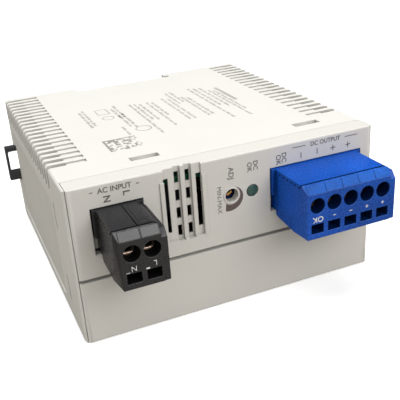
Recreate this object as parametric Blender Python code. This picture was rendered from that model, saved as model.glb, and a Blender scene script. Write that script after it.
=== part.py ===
"""DIN rail power supply, 90 x 94 x 44.5 mm, lying on its plain side.

+X runs to the output end, +Y to the rail at the back, +Z up out of the printed side.
Sizes are in millimetres from the housing's corner and are turned into metres about the rail seat.
"""

import math

import bmesh
import bpy
from mathutils import Matrix, Vector

# Driving dimensions of the housing, in millimetres
HEIGHT_X = 90.0
DEPTH_Y = 94.0
WIDTH_Z = 44.5
WALL = 2.0
GAP = 0.3
CORNER_R = 2.2
EDGE_R = 1.0
FRONT_EDGE_R = 0.5
CAVITY_BACK = 85.6

# Rail seat
SEAT_X = 43.7
SEAT_Y = 89.6
RAIL_WIDTH = 35.0
BRIM_LIP_Y = SEAT_Y + 1.3
HOOK_OVERLAP = 1.2
HOOK_RELIEF = 0.3

# Front cover
COVER_THICK = 2.2
FLANGE_DEPTH = 6.3
SEAM_X = 0.9
GROOVE_Z = (18.4, 19.3)
GROOVE_DEPTH = 1.5
WINDOW_Y = (10.8, 13.4)
NUB_RISE = 2.6
ARM_THICK = 0.9
ARM_ROOT_THICK = 1.6
ARM_SIDE_GAP = 0.2
WINDOW_XS = ((21.0, 29.2), (70.8, 79.0))

# Ventilation slots
VENT_COUNT = 20
VENT_FIRST_Y = 18.6
VENT_LAST_Y = 90.6
VENT_WIDTH = 2.15
VENT_CUT = 5.5
VENT_DEPTH = 1.5
VENT_GROOVE = 10.9
VENT_GROOVE_DEPTH = 0.5
VENT_NOTCH_DEPTH = 0.85
VENT_NOTCH_Z = 38.0
VENT_FLOOR_RISE = 0.9

# Sunk panel and finger slots on the two end walls
PANEL_Y = (20.2, 88.0)
PANEL_Z = (4.0, 34.5)
PANEL_DEPTH = 0.35
PANEL_R = 3.0
END_SLOT_WIDTH = 1.2
END_SLOTS = ((16.5, 27.1, 35.4), (13.0, 6.3, 14.9))
END_SLOT_DEPTH = 0.6

# Plugs
PITCH = 5.08
OPENING_EXTRA = 3.75
OPENING_Z = (25.6, 38.4)
FIRST_POLE = 5.25
INPUT_X = 6.1
OUTPUT_X = 56.35
INPUT_POLES = 2
OUTPUT_POLES = 5
PLUG_FRONT = -15.75
PLUG_TOP = 38.2
RIDGE_Y = -14.1
FACE_TOP = 35.6
FACE_BOTTOM = 22.8
HEEL_BOTTOM = 24.2
HOLE_Z = 32.3
HOLE_R = 2.15
SLOT_Z = (24.4, 27.1)
SLOT_HALF = 1.85
INSERT_BACK = 9.5
BODY_LEFT = 3.9
BODY_RIGHT = 2.5
EAR_RIGHT = 3.95
EAR_DROP = (1.0, 1.2)
CORNER_CUT = (0.95, 1.65)
COLLAR_FRONT = -0.6
COLLAR_BOTTOM = 30.5
INSERT_MARGIN = 2.0
INSERT_Z = (27.5, 37.3)
WAY_HALF = 1.6
WAY_Z = (31.9, 34.4)
CHAMBER_Y = (-11.5, -1.5)
CHAMBER_Z = (25.4, 36.6)
CHAMBER_HALF = 2.1

# Contacts
BAR_Z = (33.5, 34.1)
LIP_Z = (29.4, 30.4)
CAGE_Y = (-11.2, -8.6)
CAGE_HALF = 1.8
SHEET = 0.4

# Clamp springs
SPRING_PIVOT = (-2.4, 26.4)
SPRING_TIP = (-7.2, 32.7)
LEAF_HALF = 1.1

# Circuit board
BOARD_Z = (39.4, 41.0)
BOARD_X = (3.0, 87.0)
BOARD_Y = (3.0, 84.0)
HANG_Z = BOARD_Z[0] - GAP
LEAD_TOP = 41.8
LEAD_HALF = 0.35
PIN_Z = 32.7
PIN_BACK = 14.6
PIN_FRONT = 3.4
PIN_HALF = 0.5
PIN_HOLE_HALF = 0.8

# Adjuster, indicator and vent block on the front
TRIMMER_XZ = (44.6, 33.3)
TRIMMER_HOLE_R = 1.9
ROTOR_R = 1.7
ROTOR_Y = (2.5, 4.3)
LED_XZ = (50.9, 33.2)
LED_R = 1.65
VENT_BLOCK_X = (24.6, 37.4)
VENT_BLOCK_Z = (23.9, 41.3)
VENT_RAIL = 1.2
VENT_RECESS = 0.6
VENT_BANDS = (29.7, 32.75)
VENT_BAND_HALF = 0.95
VENT_BAND_DEPTH = 1.4
BAND_DROP = 0.4
LONG_SLOTS = (((25.6, 27.15), (26.3, 41.8)), ((34.85, 36.3), (26.4, 41.6)))
SHORT_SLOT_X = (-0.55, 0.65)
SHORT_SLOT_Z = (24.5, 27.65)
SHORT_SLOT_PITCH = 5.1
SHORT_SLOT_COUNT = 4
RAIL_PROUD = 0.25
RAIL_ROOT = 1.0

# Rail latch
LATCH_Z = (16.2, 28.8)
LATCH_Y = (87.9, 90.8)
LATCH_OUT = -3.6
SPRING_X = (11.6, 21.7)
PULL_WINDOW_X = (LATCH_OUT + 0.8, 4.0)
PULL_WINDOW_Z = (19.4, 27.2)

leads = []


def place(x, y, z):
    """Housing millimetres to metres about the centre of the rail seat."""
    return Vector((x - SEAT_X, y - SEAT_Y, z - WIDTH_Z / 2)) / 1000


def new_object(name, bm):
    """Turn a bmesh, in housing millimetres, into a named object in metres."""
    bmesh.ops.recalc_face_normals(bm, faces=bm.faces)
    for vert in bm.verts:
        vert.co = place(*vert.co)
    mesh = bpy.data.meshes.new(name)
    bm.to_mesh(mesh)
    bm.free()
    obj = bpy.data.objects.new(name, mesh)
    bpy.context.scene.collection.objects.link(obj)
    return obj


def prism(name, outline, axis, low, high):
    """Extrude a closed outline along an axis; its points hold the other two coordinates, in XYZ order."""
    bm = bmesh.new()

    def corner(point, along):
        coords = list(point)
        coords.insert("xyz".index(axis), along)
        return bm.verts.new(coords)

    bottom = [corner(point, low) for point in outline]
    top = [corner(point, high) for point in outline]
    bm.faces.new(bottom)
    bm.faces.new(top)
    for i in range(len(outline)):
        j = (i + 1) % len(outline)
        bm.faces.new((bottom[i], bottom[j], top[j], top[i]))
    return new_object(name, bm)


def box(name, x, y, z):
    """A block from three (low, high) pairs."""
    return prism(name, [(x[0], y[0]), (x[1], y[0]), (x[1], y[1]), (x[0], y[1])], "z", *z)


def arc(centre, radius, start, end, steps):
    """Points along an arc, angles in degrees."""
    points = []
    for i in range(steps + 1):
        angle = math.radians(start + (end - start) * i / steps)
        points.append((centre[0] + radius * math.cos(angle), centre[1] + radius * math.sin(angle)))
    return points


def rod(name, centre, axis, radius, low, high, steps=24):
    """A round bar along an axis."""
    return prism(name, arc(centre, radius, 0, 360 - 360 / steps, steps - 1), axis, low, high)


def rounded(x, y, radii, steps=4):
    """A rectangle with its own radius at each corner, from the low corner round."""
    corners = ((x[0], y[0], 1, 1), (x[1], y[0], -1, 1), (x[1], y[1], -1, -1), (x[0], y[1], 1, -1))
    points = []
    for i, ((cx, cy, sx, sy), r) in enumerate(zip(corners, radii)):
        start = 180 + 90 * i
        points += arc((cx + sx * r, cy + sy * r), r, start, start + 90, steps)
    return points


def boolean(obj, tools, operation):
    """Apply a Boolean with each tool in turn and remove the tools."""
    for tool in tools:
        modifier = obj.modifiers.new("cut", "BOOLEAN")
        modifier.object = tool
        modifier.operation = operation
        modifier.solver = "EXACT"
        graph = bpy.context.evaluated_depsgraph_get()
        mesh = bpy.data.meshes.new_from_object(obj.evaluated_get(graph), depsgraph=graph)
        obj.modifiers.clear()
        old = obj.data
        obj.data = mesh
        bpy.data.meshes.remove(old)
        mesh.name = obj.name
        bpy.data.objects.remove(tool)
    return obj


def cut(obj, *tools):
    return boolean(obj, tools, "DIFFERENCE")


def fuse(obj, *tools):
    return boolean(obj, tools, "UNION")


def common(obj, tool):
    return boolean(obj, [tool], "INTERSECT")


def gather(name, objects):
    """Join tools that don't touch into one, so that one Boolean cuts them all."""
    bm = bmesh.new()
    for obj in objects:
        bm.from_mesh(obj.data)
        bpy.data.objects.remove(obj)
    mesh = bpy.data.meshes.new(name)
    bm.to_mesh(mesh)
    bm.free()
    group = bpy.data.objects.new(name, mesh)
    bpy.context.scene.collection.objects.link(group)
    return group


def finish(obj, look, smooth=False):
    """Give the piece its material, and shade it smooth where it is round."""
    name, colour, roughness, metallic = look
    material = bpy.data.materials.get(name) or bpy.data.materials.new(name)
    material.use_nodes = True
    shader = material.node_tree.nodes["Principled BSDF"]
    shader.inputs["Base Color"].default_value = (*colour, 1.0)
    shader.inputs["Roughness"].default_value = roughness
    shader.inputs["Metallic"].default_value = metallic
    material.diffuse_color = (*colour, 1.0)
    obj.data.materials.clear()
    obj.data.materials.append(material)
    if smooth:
        obj.data.shade_smooth()
        obj.data.set_sharp_from_angle(angle=math.radians(35))
    return obj


def set_origin(obj, x, y, z):
    """Move the object's origin onto its joint without moving its shape."""
    point = place(x, y, z)
    obj.data.transform(Matrix.Translation(-point))
    obj.location = point


GREY_SHELL = ("grey_shell", (0.72, 0.71, 0.67), 0.45, 0.0)
GREY_COVER = ("grey_cover", (0.70, 0.69, 0.65), 0.45, 0.0)
LATCH_GREY = ("latch_grey", (0.05, 0.05, 0.055), 0.5, 0.0)
SPRING_STEEL = ("spring_steel", (0.55, 0.56, 0.58), 0.3, 1.0)
PLUG_BLACK = ("plug_black", (0.035, 0.036, 0.04), 0.4, 0.0)
PLUG_BLUE = ("plug_blue", (0.01, 0.09, 0.52), 0.35, 0.0)
CONTACT_COPPER = ("contact_copper", (0.80, 0.50, 0.35), 0.3, 1.0)
HEADER_GREY = ("header_grey", (0.60, 0.59, 0.55), 0.5, 0.0)
TIN = ("tin", (0.75, 0.75, 0.74), 0.3, 1.0)
LENS_GREEN = ("lens_green", (0.03, 0.12, 0.08), 0.2, 0.0)
LED_GREEN = ("led_green", (0.05, 0.35, 0.10), 0.2, 0.0)
TRIMMER_BLUE = ("trimmer_blue", (0.03, 0.10, 0.35), 0.4, 0.0)
TRIMMER_BRASS = ("trimmer_brass", (0.75, 0.45, 0.12), 0.35, 0.6)
BOARD_GREEN = ("board_green", (0.02, 0.16, 0.08), 0.4, 0.0)
FERRITE = ("ferrite", (0.045, 0.045, 0.05), 0.6, 0.0)
WINDING = ("winding", (0.62, 0.28, 0.10), 0.35, 0.7)
TAPE_YELLOW = ("tape_yellow", (0.75, 0.58, 0.10), 0.4, 0.0)
BOBBIN_BLACK = ("bobbin_black", (0.04, 0.04, 0.04), 0.5, 0.0)
SLEEVE_BLACK = ("sleeve_black", (0.03, 0.03, 0.035), 0.35, 0.0)
SLEEVE_DARK = ("sleeve_dark", (0.04, 0.05, 0.10), 0.35, 0.0)
EPOXY_BLACK = ("epoxy_black", (0.03, 0.03, 0.03), 0.5, 0.0)
EPOXY_BLUE = ("epoxy_blue", (0.04, 0.16, 0.42), 0.35, 0.0)
EPOXY_GREEN = ("epoxy_green", (0.08, 0.22, 0.10), 0.4, 0.0)
FILM_GREY = ("film_grey", (0.05, 0.055, 0.07), 0.4, 0.0)
ALUMINIUM = ("aluminium", (0.72, 0.73, 0.74), 0.35, 1.0)
SCREW_STEEL = ("screw_steel", (0.60, 0.60, 0.60), 0.3, 1.0)
FUSE_BROWN = ("fuse_brown", (0.20, 0.09, 0.05), 0.4, 0.0)


def envelope(name):
    """The outer form that the shell and the cover share."""
    plan = rounded((0, HEIGHT_X), (0, DEPTH_Y), (CORNER_R, CORNER_R, 1.0, 1.0))
    body = prism(name, plan, "z", 0, WIDTH_Z)
    end_view = rounded((0, HEIGHT_X), (0, WIDTH_Z), (EDGE_R,) * 4)
    common(body, prism("end_view", end_view, "y", -1, DEPTH_Y + 1))
    side_view = rounded((0, DEPTH_Y + 2), (0, WIDTH_Z), (FRONT_EDGE_R, 1, 1, FRONT_EDGE_R), 3)
    return common(body, prism("side_view", side_view, "x", -1, HEIGHT_X + 1))


def vent_outline(top):
    """One slot seen along Y: deep at the edge, then a shallow groove toward the middle."""
    if top:
        drop = WIDTH_Z - VENT_NOTCH_Z
        outline = [(-1, -1), (-1, drop), (0, drop), (VENT_NOTCH_DEPTH, drop - VENT_FLOOR_RISE)]
        outline.append((VENT_NOTCH_DEPTH, VENT_DEPTH))
    else:
        outline = [(WALL + 0.8, -1), (WALL + 0.8, VENT_DEPTH)]
    outline += [(VENT_CUT, VENT_DEPTH), (VENT_CUT, VENT_GROOVE_DEPTH)]
    return outline + [(VENT_GROOVE, VENT_GROOVE_DEPTH), (VENT_GROOVE, -1)]


def vent_tools():
    """Slots along the four long edges; those of the printed side run on down the end walls."""
    pitch = (VENT_LAST_Y - VENT_FIRST_Y) / (VENT_COUNT - 1)
    tools = []
    for top in (True, False):
        for at_low_end in (True, False):
            outline = vent_outline(top)
            if not at_low_end:
                outline = [(HEIGHT_X - x, z) for x, z in outline]
            if top:
                outline = [(x, WIDTH_Z - z) for x, z in outline]
            for i in range(VENT_COUNT):
                y = VENT_FIRST_Y + i * pitch
                tools.append(prism("vent", outline, "y", y - VENT_WIDTH / 2, y + VENT_WIDTH / 2))
    return gather("vents", tools)


def end_wall_tools():
    """A sunk panel and two shallow slots on each end wall."""
    tools = []
    for outside, inside in ((-1.0, 0.0), (HEIGHT_X + 1.0, HEIGHT_X)):
        inward = math.copysign(1.0, inside - outside)
        panel = rounded(PANEL_Y, PANEL_Z, (PANEL_R,) * 4)
        ends = sorted((outside, inside + inward * PANEL_DEPTH))
        tools.append(prism("panel", panel, "x", *ends))
        for y, low, high in END_SLOTS:
            ends = sorted((outside, inside + inward * END_SLOT_DEPTH))
            tools.append(box("end_slot", ends, (y - END_SLOT_WIDTH / 2, y + END_SLOT_WIDTH / 2), (low, high)))
    return gather("end_walls", tools)


def housing_shell():
    """A tub that is open at the front, with the rail seat and the latch channel at the back."""
    shell = envelope("housing_shell")
    inner_x = (WALL, HEIGHT_X - WALL)
    inner_z = (WALL, WIDTH_Z - WALL)
    cut(shell, box("cavity", inner_x, (-1, CAVITY_BACK), inner_z))
    seam_x = (SEAM_X - GAP, HEIGHT_X - SEAM_X + GAP)
    cut(shell, box("cover_face", seam_x, (-1, COVER_THICK + GAP), (-1, WIDTH_Z + 1)))
    flange_y = (-1, FLANGE_DEPTH + GAP)
    cut(shell, box("cover_top", seam_x, flange_y, (WIDTH_Z - WALL - GAP, WIDTH_Z + 1)))
    cut(shell, box("cover_base", seam_x, flange_y, (-1, WALL + GAP)))

    # Pockets that thin the back down to a wall outside the rail seat and the latch channel
    low_channel, high_channel = LATCH_Z[0] - GAP - WALL, LATCH_Z[1] + GAP + WALL
    foot_back = DEPTH_Y - WALL
    foot_y = (CAVITY_BACK - 1, foot_back)
    pockets = [
        box("pocket_middle", (30, 58), (CAVITY_BACK - 1, SEAT_Y - WALL), inner_z),
        box("pocket_output", (64, HEIGHT_X - WALL), foot_y, inner_z),
        box("pocket_low", (WALL, 22), foot_y, (WALL, low_channel)),
        box("pocket_high", (WALL, 22), foot_y, (high_channel, WIDTH_Z - WALL)),
    ]
    cut(shell, gather("pockets", pockets))

    # Rail seat: a sloped side at the latch, an undercut hook at the output end
    brim_low = SEAT_X - RAIL_WIDTH / 2
    brim_high = SEAT_X + RAIL_WIDTH / 2
    hook_x = brim_high - HOOK_OVERLAP
    seat = [(brim_low - 1.7, DEPTH_Y + 1), (brim_low - 1.7, DEPTH_Y), (brim_low, BRIM_LIP_Y)]
    relief = (hook_x - HOOK_RELIEF, SEAT_Y - HOOK_RELIEF)
    seat += [(brim_low, SEAT_Y), (relief[0], SEAT_Y), relief]
    seat += [(brim_high + GAP, relief[1]), (brim_high + GAP, BRIM_LIP_Y)]
    seat += [(hook_x, BRIM_LIP_Y), (hook_x, DEPTH_Y), (hook_x + 0.6, DEPTH_Y + 1)]
    cut(shell, prism("seat", seat, "z", -1, WIDTH_Z + 1))

    # Latch channel: wide for the tongues, narrower behind so that two lips keep the latch in
    channel_z = (LATCH_Z[0] - GAP, LATCH_Z[1] + GAP)
    slot_z = (LATCH_Z[0] + 1.8, LATCH_Z[1] - 1.8)
    channel_y = (LATCH_Y[0] - GAP, LATCH_Y[1] + GAP)
    cut(shell, box("channel", (-1, brim_low + 4), channel_y, channel_z))
    cut(shell, box("channel_slot", (-1, brim_low + 1), (channel_y[1] - 1, DEPTH_Y + 1), slot_z))
    post_x = (SPRING_X[0] - GAP - 2.0, SPRING_X[0] - GAP)
    fuse(shell, box("spring_post", post_x, (channel_y[0] - 1, LATCH_Y[1] - GAP), (20.4, 24.6)))

    windows = []
    for x in WINDOW_XS:
        windows.append(box("window_top", x, WINDOW_Y, (WIDTH_Z - WALL - 1, WIDTH_Z + 1)))
        windows.append(box("window_base", x, WINDOW_Y, (-1, WALL + 1)))
    cut(shell, gather("windows", windows))
    cut(shell, end_wall_tools())
    cut(shell, vent_tools())

    # Posts that the circuit board rests against, moulded inside the printed side
    posts = []
    for x in (BOARD_X[0] + 14, BOARD_X[1] - 14):
        for y in (BOARD_Y[0] + 19, BOARD_Y[1] - 6):
            posts.append(rod("post", (x, y), "z", 2.0, BOARD_Z[1] + GAP, WIDTH_Z - WALL / 2, 12))
    fuse(shell, gather("posts", posts))
    return finish(shell, GREY_SHELL)


def opening_x(start, poles):
    return (start, start + poles * PITCH + OPENING_EXTRA)


def vent_block_tools():
    """A recess open at the top edge, with two deeper bands of short slots between two long slots."""
    low, high = VENT_BLOCK_X[0] + VENT_RAIL, VENT_BLOCK_X[1] - VENT_RAIL
    recess = box("recess", (low, high), (-1, VENT_RECESS), (VENT_BLOCK_Z[0], WIDTH_Z + 1))
    through = (-1, COVER_THICK + 1)
    band_z = (VENT_BLOCK_Z[0] - BAND_DROP, WIDTH_Z + 1)
    bands = []
    slots = [box("long_slot", slot_x, through, slot_z) for slot_x, slot_z in LONG_SLOTS]
    for x in VENT_BANDS:
        bands.append(box("band", (x - VENT_BAND_HALF, x + VENT_BAND_HALF), (-1, VENT_BAND_DEPTH), band_z))
        slot_x = (x + SHORT_SLOT_X[0], x + SHORT_SLOT_X[1])
        for i in range(SHORT_SLOT_COUNT):
            rise = i * SHORT_SLOT_PITCH
            slots.append(box("slot", slot_x, through, (SHORT_SLOT_Z[0] + rise, SHORT_SLOT_Z[1] + rise)))
    return recess, gather("bands", bands), gather("vent_slots", slots)


def snap_arm(x, top):
    """A tongue that runs under the housing wall, with a nub that springs into its window."""
    low, high = x[0] + GAP + ARM_SIDE_GAP, x[1] - GAP - ARM_SIDE_GAP
    root, step, tip = FLANGE_DEPTH - 2, FLANGE_DEPTH - 0.2, WINDOW_Y[1] - 0.1
    outline = [(root, 0), (root, ARM_ROOT_THICK), (step, ARM_ROOT_THICK), (step, ARM_THICK)]
    outline += [(WINDOW_Y[0] + GAP, ARM_THICK), (WINDOW_Y[0] + GAP, NUB_RISE)]
    outline += [(WINDOW_Y[1] - GAP, ARM_THICK + 0.1), (tip, ARM_THICK - 0.1), (tip, 0)]
    base = WIDTH_Z - WALL - GAP - ARM_THICK
    if top:
        outline = [(y, base + z) for y, z in outline]
    else:
        outline = [(y, WIDTH_Z - base - z) for y, z in outline]
    return prism("snap_arm", outline, "x", low, high)


def front_cover():
    """The terminal face: a slab with flanges that wrap over both broad sides."""
    cover = envelope("front_cover")
    span_x = (SEAM_X, HEIGHT_X - SEAM_X)
    common(cover, box("cover_zone", span_x, (-1, FLANGE_DEPTH), (-1, WIDTH_Z + 1)))
    cut(cover, box("cover_hollow", (-1, HEIGHT_X + 1), (COVER_THICK, DEPTH_Y), (WALL, WIDTH_Z - WALL)))
    for poles, start in ((INPUT_POLES, INPUT_X), (OUTPUT_POLES, OUTPUT_X)):
        cut(cover, box("opening", opening_x(start, poles), (-1, COVER_THICK + 1), OPENING_Z))
    cut(cover, rod("trimmer_hole", TRIMMER_XZ, "y", TRIMMER_HOLE_R, -1, COVER_THICK + 1))
    cut(cover, rod("light_hole", LED_XZ, "y", LED_R + GAP, -1, COVER_THICK + 1))
    cut(cover, box("groove", (-1, HEIGHT_X + 1), (-1, GROOVE_DEPTH), GROOVE_Z))
    cut(cover, *vent_block_tools())
    for x in (VENT_BLOCK_X[0], VENT_BLOCK_X[1] - VENT_RAIL):
        fuse(cover, box("rail", (x, x + VENT_RAIL), (-RAIL_PROUD, RAIL_ROOT), VENT_BLOCK_Z))
    for x in WINDOW_XS:
        fuse(cover, snap_arm(x, True), snap_arm(x, False))
    return finish(cover, GREY_COVER)


def din_latch():
    """A flat slider with a pull loop, a spring window and a lip behind the rail's brim."""
    brim_low = SEAT_X - RAIL_WIDTH / 2
    latch = box("din_latch", (LATCH_OUT, brim_low - GAP), LATCH_Y, LATCH_Z)
    lip_z = (LATCH_Z[0] + 2.1, LATCH_Z[1] - 2.1)
    lip = [(brim_low - 4.5, LATCH_Y[1] - 1), (brim_low - GAP, LATCH_Y[1] - 1), (brim_low - GAP, BRIM_LIP_Y)]
    lip += [(brim_low + 1.3, BRIM_LIP_Y), (brim_low - 0.6, DEPTH_Y - 0.2), (brim_low - 4.5, DEPTH_Y - 0.2)]
    fuse(latch, prism("lip", lip, "z", *lip_z))
    mid_z = sum(LATCH_Z) / 2
    cut(latch, box("spring_window", (SPRING_X[0] - 2.6, SPRING_X[1] + GAP), (80, 92), (20.0, 25.0)))
    cut(latch, box("pull_window", PULL_WINDOW_X, (80, 92), PULL_WINDOW_Z))
    set_origin(latch, 0, SEAT_Y, mid_z)
    return finish(latch, LATCH_GREY)


def coil(name, centre_y, centre_z, x_range, radius, wire, turns, steps=12, sides=6):
    """A compression spring along X, swept as rings of a round wire."""
    bm = bmesh.new()
    rings = []
    total = turns * steps
    length = x_range[1] - x_range[0] - 2 * wire
    for i in range(total + 1):
        angle = 2 * math.pi * i / steps
        outward = Vector((0, math.cos(angle), math.sin(angle)))
        centre = radius * outward + Vector((x_range[0] + wire + length * i / total, 0, 0))
        ring = []
        for k in range(sides):
            turn = 2 * math.pi * k / sides
            point = centre + wire * (math.cos(turn) * outward + math.sin(turn) * Vector((1, 0, 0)))
            ring.append(bm.verts.new(point + Vector((0, centre_y, centre_z))))
        rings.append(ring)
    for a, b in zip(rings, rings[1:]):
        for k in range(sides):
            j = (k + 1) % sides
            bm.faces.new((a[k], a[j], b[j], b[k]))
    bm.faces.new(rings[0])
    bm.faces.new(rings[-1])
    return new_object(name, bm)


def latch_spring():
    mid_y = sum(LATCH_Y) / 2
    spring = coil("latch_spring", mid_y, sum(LATCH_Z) / 2, SPRING_X, 1.05, 0.22, 6)
    return finish(spring, SPRING_STEEL, True)


def pole_xs(start, poles):
    return [start + FIRST_POLE + i * PITCH for i in range(poles)]


def plug_body(name, start, poles, look):
    """The pull-off half of a terminal: a bevelled block, a rear collar and an insert for the header."""
    xs = pole_xs(start, poles)
    low, high = xs[0] - BODY_LEFT, xs[-1] + BODY_RIGHT
    profile = [(-GAP, HEEL_BOTTOM), (PLUG_FRONT, FACE_BOTTOM), (PLUG_FRONT, FACE_TOP), (RIDGE_Y, PLUG_TOP)]
    profile += [(-GAP, PLUG_TOP)]
    body = prism(name, profile, "x", low, high)
    ear = [(-GAP, HEEL_BOTTOM), (PLUG_FRONT, FACE_BOTTOM), (PLUG_FRONT, FACE_TOP - EAR_DROP[0])]
    ear += [(RIDGE_Y, PLUG_TOP - EAR_DROP[1]), (-GAP, PLUG_TOP - EAR_DROP[1])]
    fuse(body, prism("ear", ear, "x", high - 0.5, xs[-1] + EAR_RIGHT))
    corner = [(low - 1, PLUG_FRONT - 1), (low + CORNER_CUT[0] + 0.6, PLUG_FRONT - 1)]
    corner += [(low + CORNER_CUT[0], PLUG_FRONT), (low, PLUG_FRONT + CORNER_CUT[1])]
    corner.append((low - 1, PLUG_FRONT + CORNER_CUT[1]))
    cut(body, prism("corner", corner, "z", FACE_BOTTOM - 1, PLUG_TOP + 1))
    collar_x = (start + GAP, opening_x(start, poles)[1] - GAP)
    fuse(body, box("collar", collar_x, (COLLAR_FRONT, COVER_THICK), (COLLAR_BOTTOM, PLUG_TOP)))
    fuse(body, box("neck", (low, high), (COLLAR_FRONT, COVER_THICK), (OPENING_Z[0] + GAP, PLUG_TOP - 1)))
    insert_x = (start + INSERT_MARGIN, opening_x(start, poles)[1] - INSERT_MARGIN)
    fuse(body, box("insert", insert_x, (COVER_THICK - 0.5, INSERT_BACK), INSERT_Z))
    tools = []
    for x in xs:
        tools.append(rod("wire_hole", (x, HOLE_Z), "y", HOLE_R, PLUG_FRONT - 1, CHAMBER_Y[0] + 1, 16))
    cut(body, gather("wire_holes", tools))
    tools = []
    for x in xs:
        slot_x = (x - SLOT_HALF, x + SLOT_HALF)
        tools.append(box("tool_slot", slot_x, (PLUG_FRONT - 1, CHAMBER_Y[0] + 1), SLOT_Z))
    cut(body, gather("tool_slots", tools))
    tools = []
    for x in xs:
        tools.append(box("chamber", (x - CHAMBER_HALF, x + CHAMBER_HALF), CHAMBER_Y, CHAMBER_Z))
    cut(body, gather("chambers", tools))
    tools = []
    for x in xs:
        way_y = (CHAMBER_Y[1] - 1, INSERT_BACK + 1)
        tools.append(box("contact_way", (x - WAY_HALF, x + WAY_HALF), way_y, WAY_Z))
    cut(body, gather("contact_ways", tools))
    set_origin(body, sum(xs) / poles, 0, HOLE_Z)
    return finish(body, look)


def plug_contact(name, x):
    """A current bar over the wire, a cage round the wire's way in and a channel behind for the header pin."""
    back = INSERT_BACK - 0.8
    bar = box(name, (x - 1.3, x + 1.3), (CAGE_Y[0], back), BAR_Z)
    fuse(bar, box("cage", (x - CAGE_HALF, x + CAGE_HALF), CAGE_Y, (LIP_Z[0], BAR_Z[1])))
    inner_x = (x - CAGE_HALF + SHEET, x + CAGE_HALF - SHEET)
    cut(bar, box("inside", inner_x, (CAGE_Y[0] + SHEET, CAGE_Y[1] + 1), (LIP_Z[0] - 1, BAR_Z[0])))
    cut(bar, box("mouth", inner_x, (CAGE_Y[0] - 1, CAGE_Y[0] + 1), (LIP_Z[1], BAR_Z[0])))
    sides = []
    for low in (x - 1.3, x + 0.8):
        sides.append(box("side", (low, low + 0.5), (-0.8, back), (PIN_Z - 0.5, BAR_Z[0] + 0.3)))
    fuse(bar, gather("sides", sides))
    return finish(bar, CONTACT_COPPER)


def clamp_spring(name, x):
    """A leaf with a rolled eye that presses the wire up against the contact."""
    pivot = Vector(SPRING_PIVOT)
    along = (Vector(SPRING_TIP) - pivot).normalized()
    across = Vector((-along.y, along.x))
    thick = 0.2
    eye_r = 0.65
    start = math.degrees(math.atan2(along.y, along.x))
    half = math.degrees(math.asin(thick / eye_r))
    outline = arc(pivot, eye_r, start + half, start + 360 - half, 12)
    tip = Vector(SPRING_TIP)
    outline += [tuple(tip - across * thick), tuple(tip + across * thick)]
    leaf = prism(name, outline, "x", x - LEAF_HALF, x + LEAF_HALF)
    set_origin(leaf, x, *SPRING_PIVOT)
    return finish(leaf, SPRING_STEEL, True)


def plug(prefix, start, poles, look):
    plug_body(prefix + "_plug_body", start, poles, look)
    for i, x in enumerate(pole_xs(start, poles)):
        plug_contact(f"{prefix}_contact_{i + 1}", x)
        clamp_spring(f"{prefix}_clamp_spring_{i + 1}", x)


def add_leads(obj, spots, low):
    """Fuse square leads to a piece and remember where they pass the board."""
    pins = []
    for x, y in spots:
        lead_x, lead_y = (x - LEAD_HALF, x + LEAD_HALF), (y - LEAD_HALF, y + LEAD_HALF)
        pins.append(box("lead", lead_x, lead_y, (low, LEAD_TOP)))
        leads.append((x, y, LEAD_HALF))
    return fuse(obj, gather("leads", pins))


def header(name, start, poles):
    """The fixed half of a terminal, a shroud open to the front with holes for its pins."""
    outer = opening_x(start, poles)
    shroud_x = (outer[0] + 0.4, outer[1] - 0.4)
    back = INSERT_BACK + GAP + 2.0
    shroud = box(name, shroud_x, (COVER_THICK + 0.6, back), (26.0, HANG_Z))
    inner_x = (outer[0] + INSERT_MARGIN - GAP, outer[1] - INSERT_MARGIN + GAP)
    inner_z = (INSERT_Z[0] - GAP, INSERT_Z[1] + GAP)
    cut(shroud, box("hollow", inner_x, (0, INSERT_BACK + GAP), inner_z))
    tools = []
    for x in pole_xs(start, poles):
        hole_x = (x - PIN_HOLE_HALF, x + PIN_HOLE_HALF)
        hole_z = (PIN_Z - PIN_HOLE_HALF, PIN_Z + PIN_HOLE_HALF)
        tools.append(box("pin_hole", hole_x, (INSERT_BACK, back + 1), hole_z))
    cut(shroud, gather("pin_holes", tools))
    return finish(shroud, HEADER_GREY)


def header_pins(prefix, start, poles):
    """Right-angled square pins from the board into the plug's contacts."""
    for i, x in enumerate(pole_xs(start, poles)):
        low, high, inner = PIN_Z - PIN_HALF, PIN_Z + PIN_HALF, PIN_BACK - 2 * PIN_HALF
        outline = [(PIN_FRONT, low), (PIN_BACK, low), (PIN_BACK, LEAD_TOP)]
        outline += [(inner, LEAD_TOP), (inner, high), (PIN_FRONT, high)]
        leads.append((x, PIN_BACK - PIN_HALF, PIN_HALF))
        finish(prism(f"{prefix}_header_pin_{i + 1}", outline, "x", x - PIN_HALF, x + PIN_HALF), TIN)


def status_light():
    """A light pipe through the cover and the lamp behind it."""
    pipe = rod("status_light_pipe", LED_XZ, "y", LED_R, 0.2, 6.0, 20)
    finish(pipe, LENS_GREEN, True)
    x, z = LED_XZ
    lamp = rod("status_lamp", LED_XZ, "y", 1.5, 6.3, 11.2, 20)
    add_leads(lamp, ((x - 0.9, 10.4), (x + 0.9, 10.4)), z - 0.3)
    finish(lamp, LED_GREEN, True)


def trimmer():
    """The output voltage adjuster: a fixed body and a slotted rotor behind the hole in the cover."""
    x, z = TRIMMER_XZ
    body = box("trimmer_body", (x - 3.3, x + 3.3), (4.6, 10.8), (z - 3.4, z + 3.4))
    add_leads(body, ((x - 2.2, 10.0), (x, 10.0), (x + 2.2, 10.0)), z)
    finish(body, TRIMMER_BLUE)
    rotor = rod("trimmer_rotor", TRIMMER_XZ, "y", ROTOR_R, *ROTOR_Y, 20)
    cut(rotor, box("driver_slot", (x - 1.2, x + 1.2), (0, ROTOR_Y[0] + 0.8), (z - 0.3, z + 0.3)))
    set_origin(rotor, x, ROTOR_Y[1], z)
    finish(rotor, TRIMMER_BRASS, True)


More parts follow.
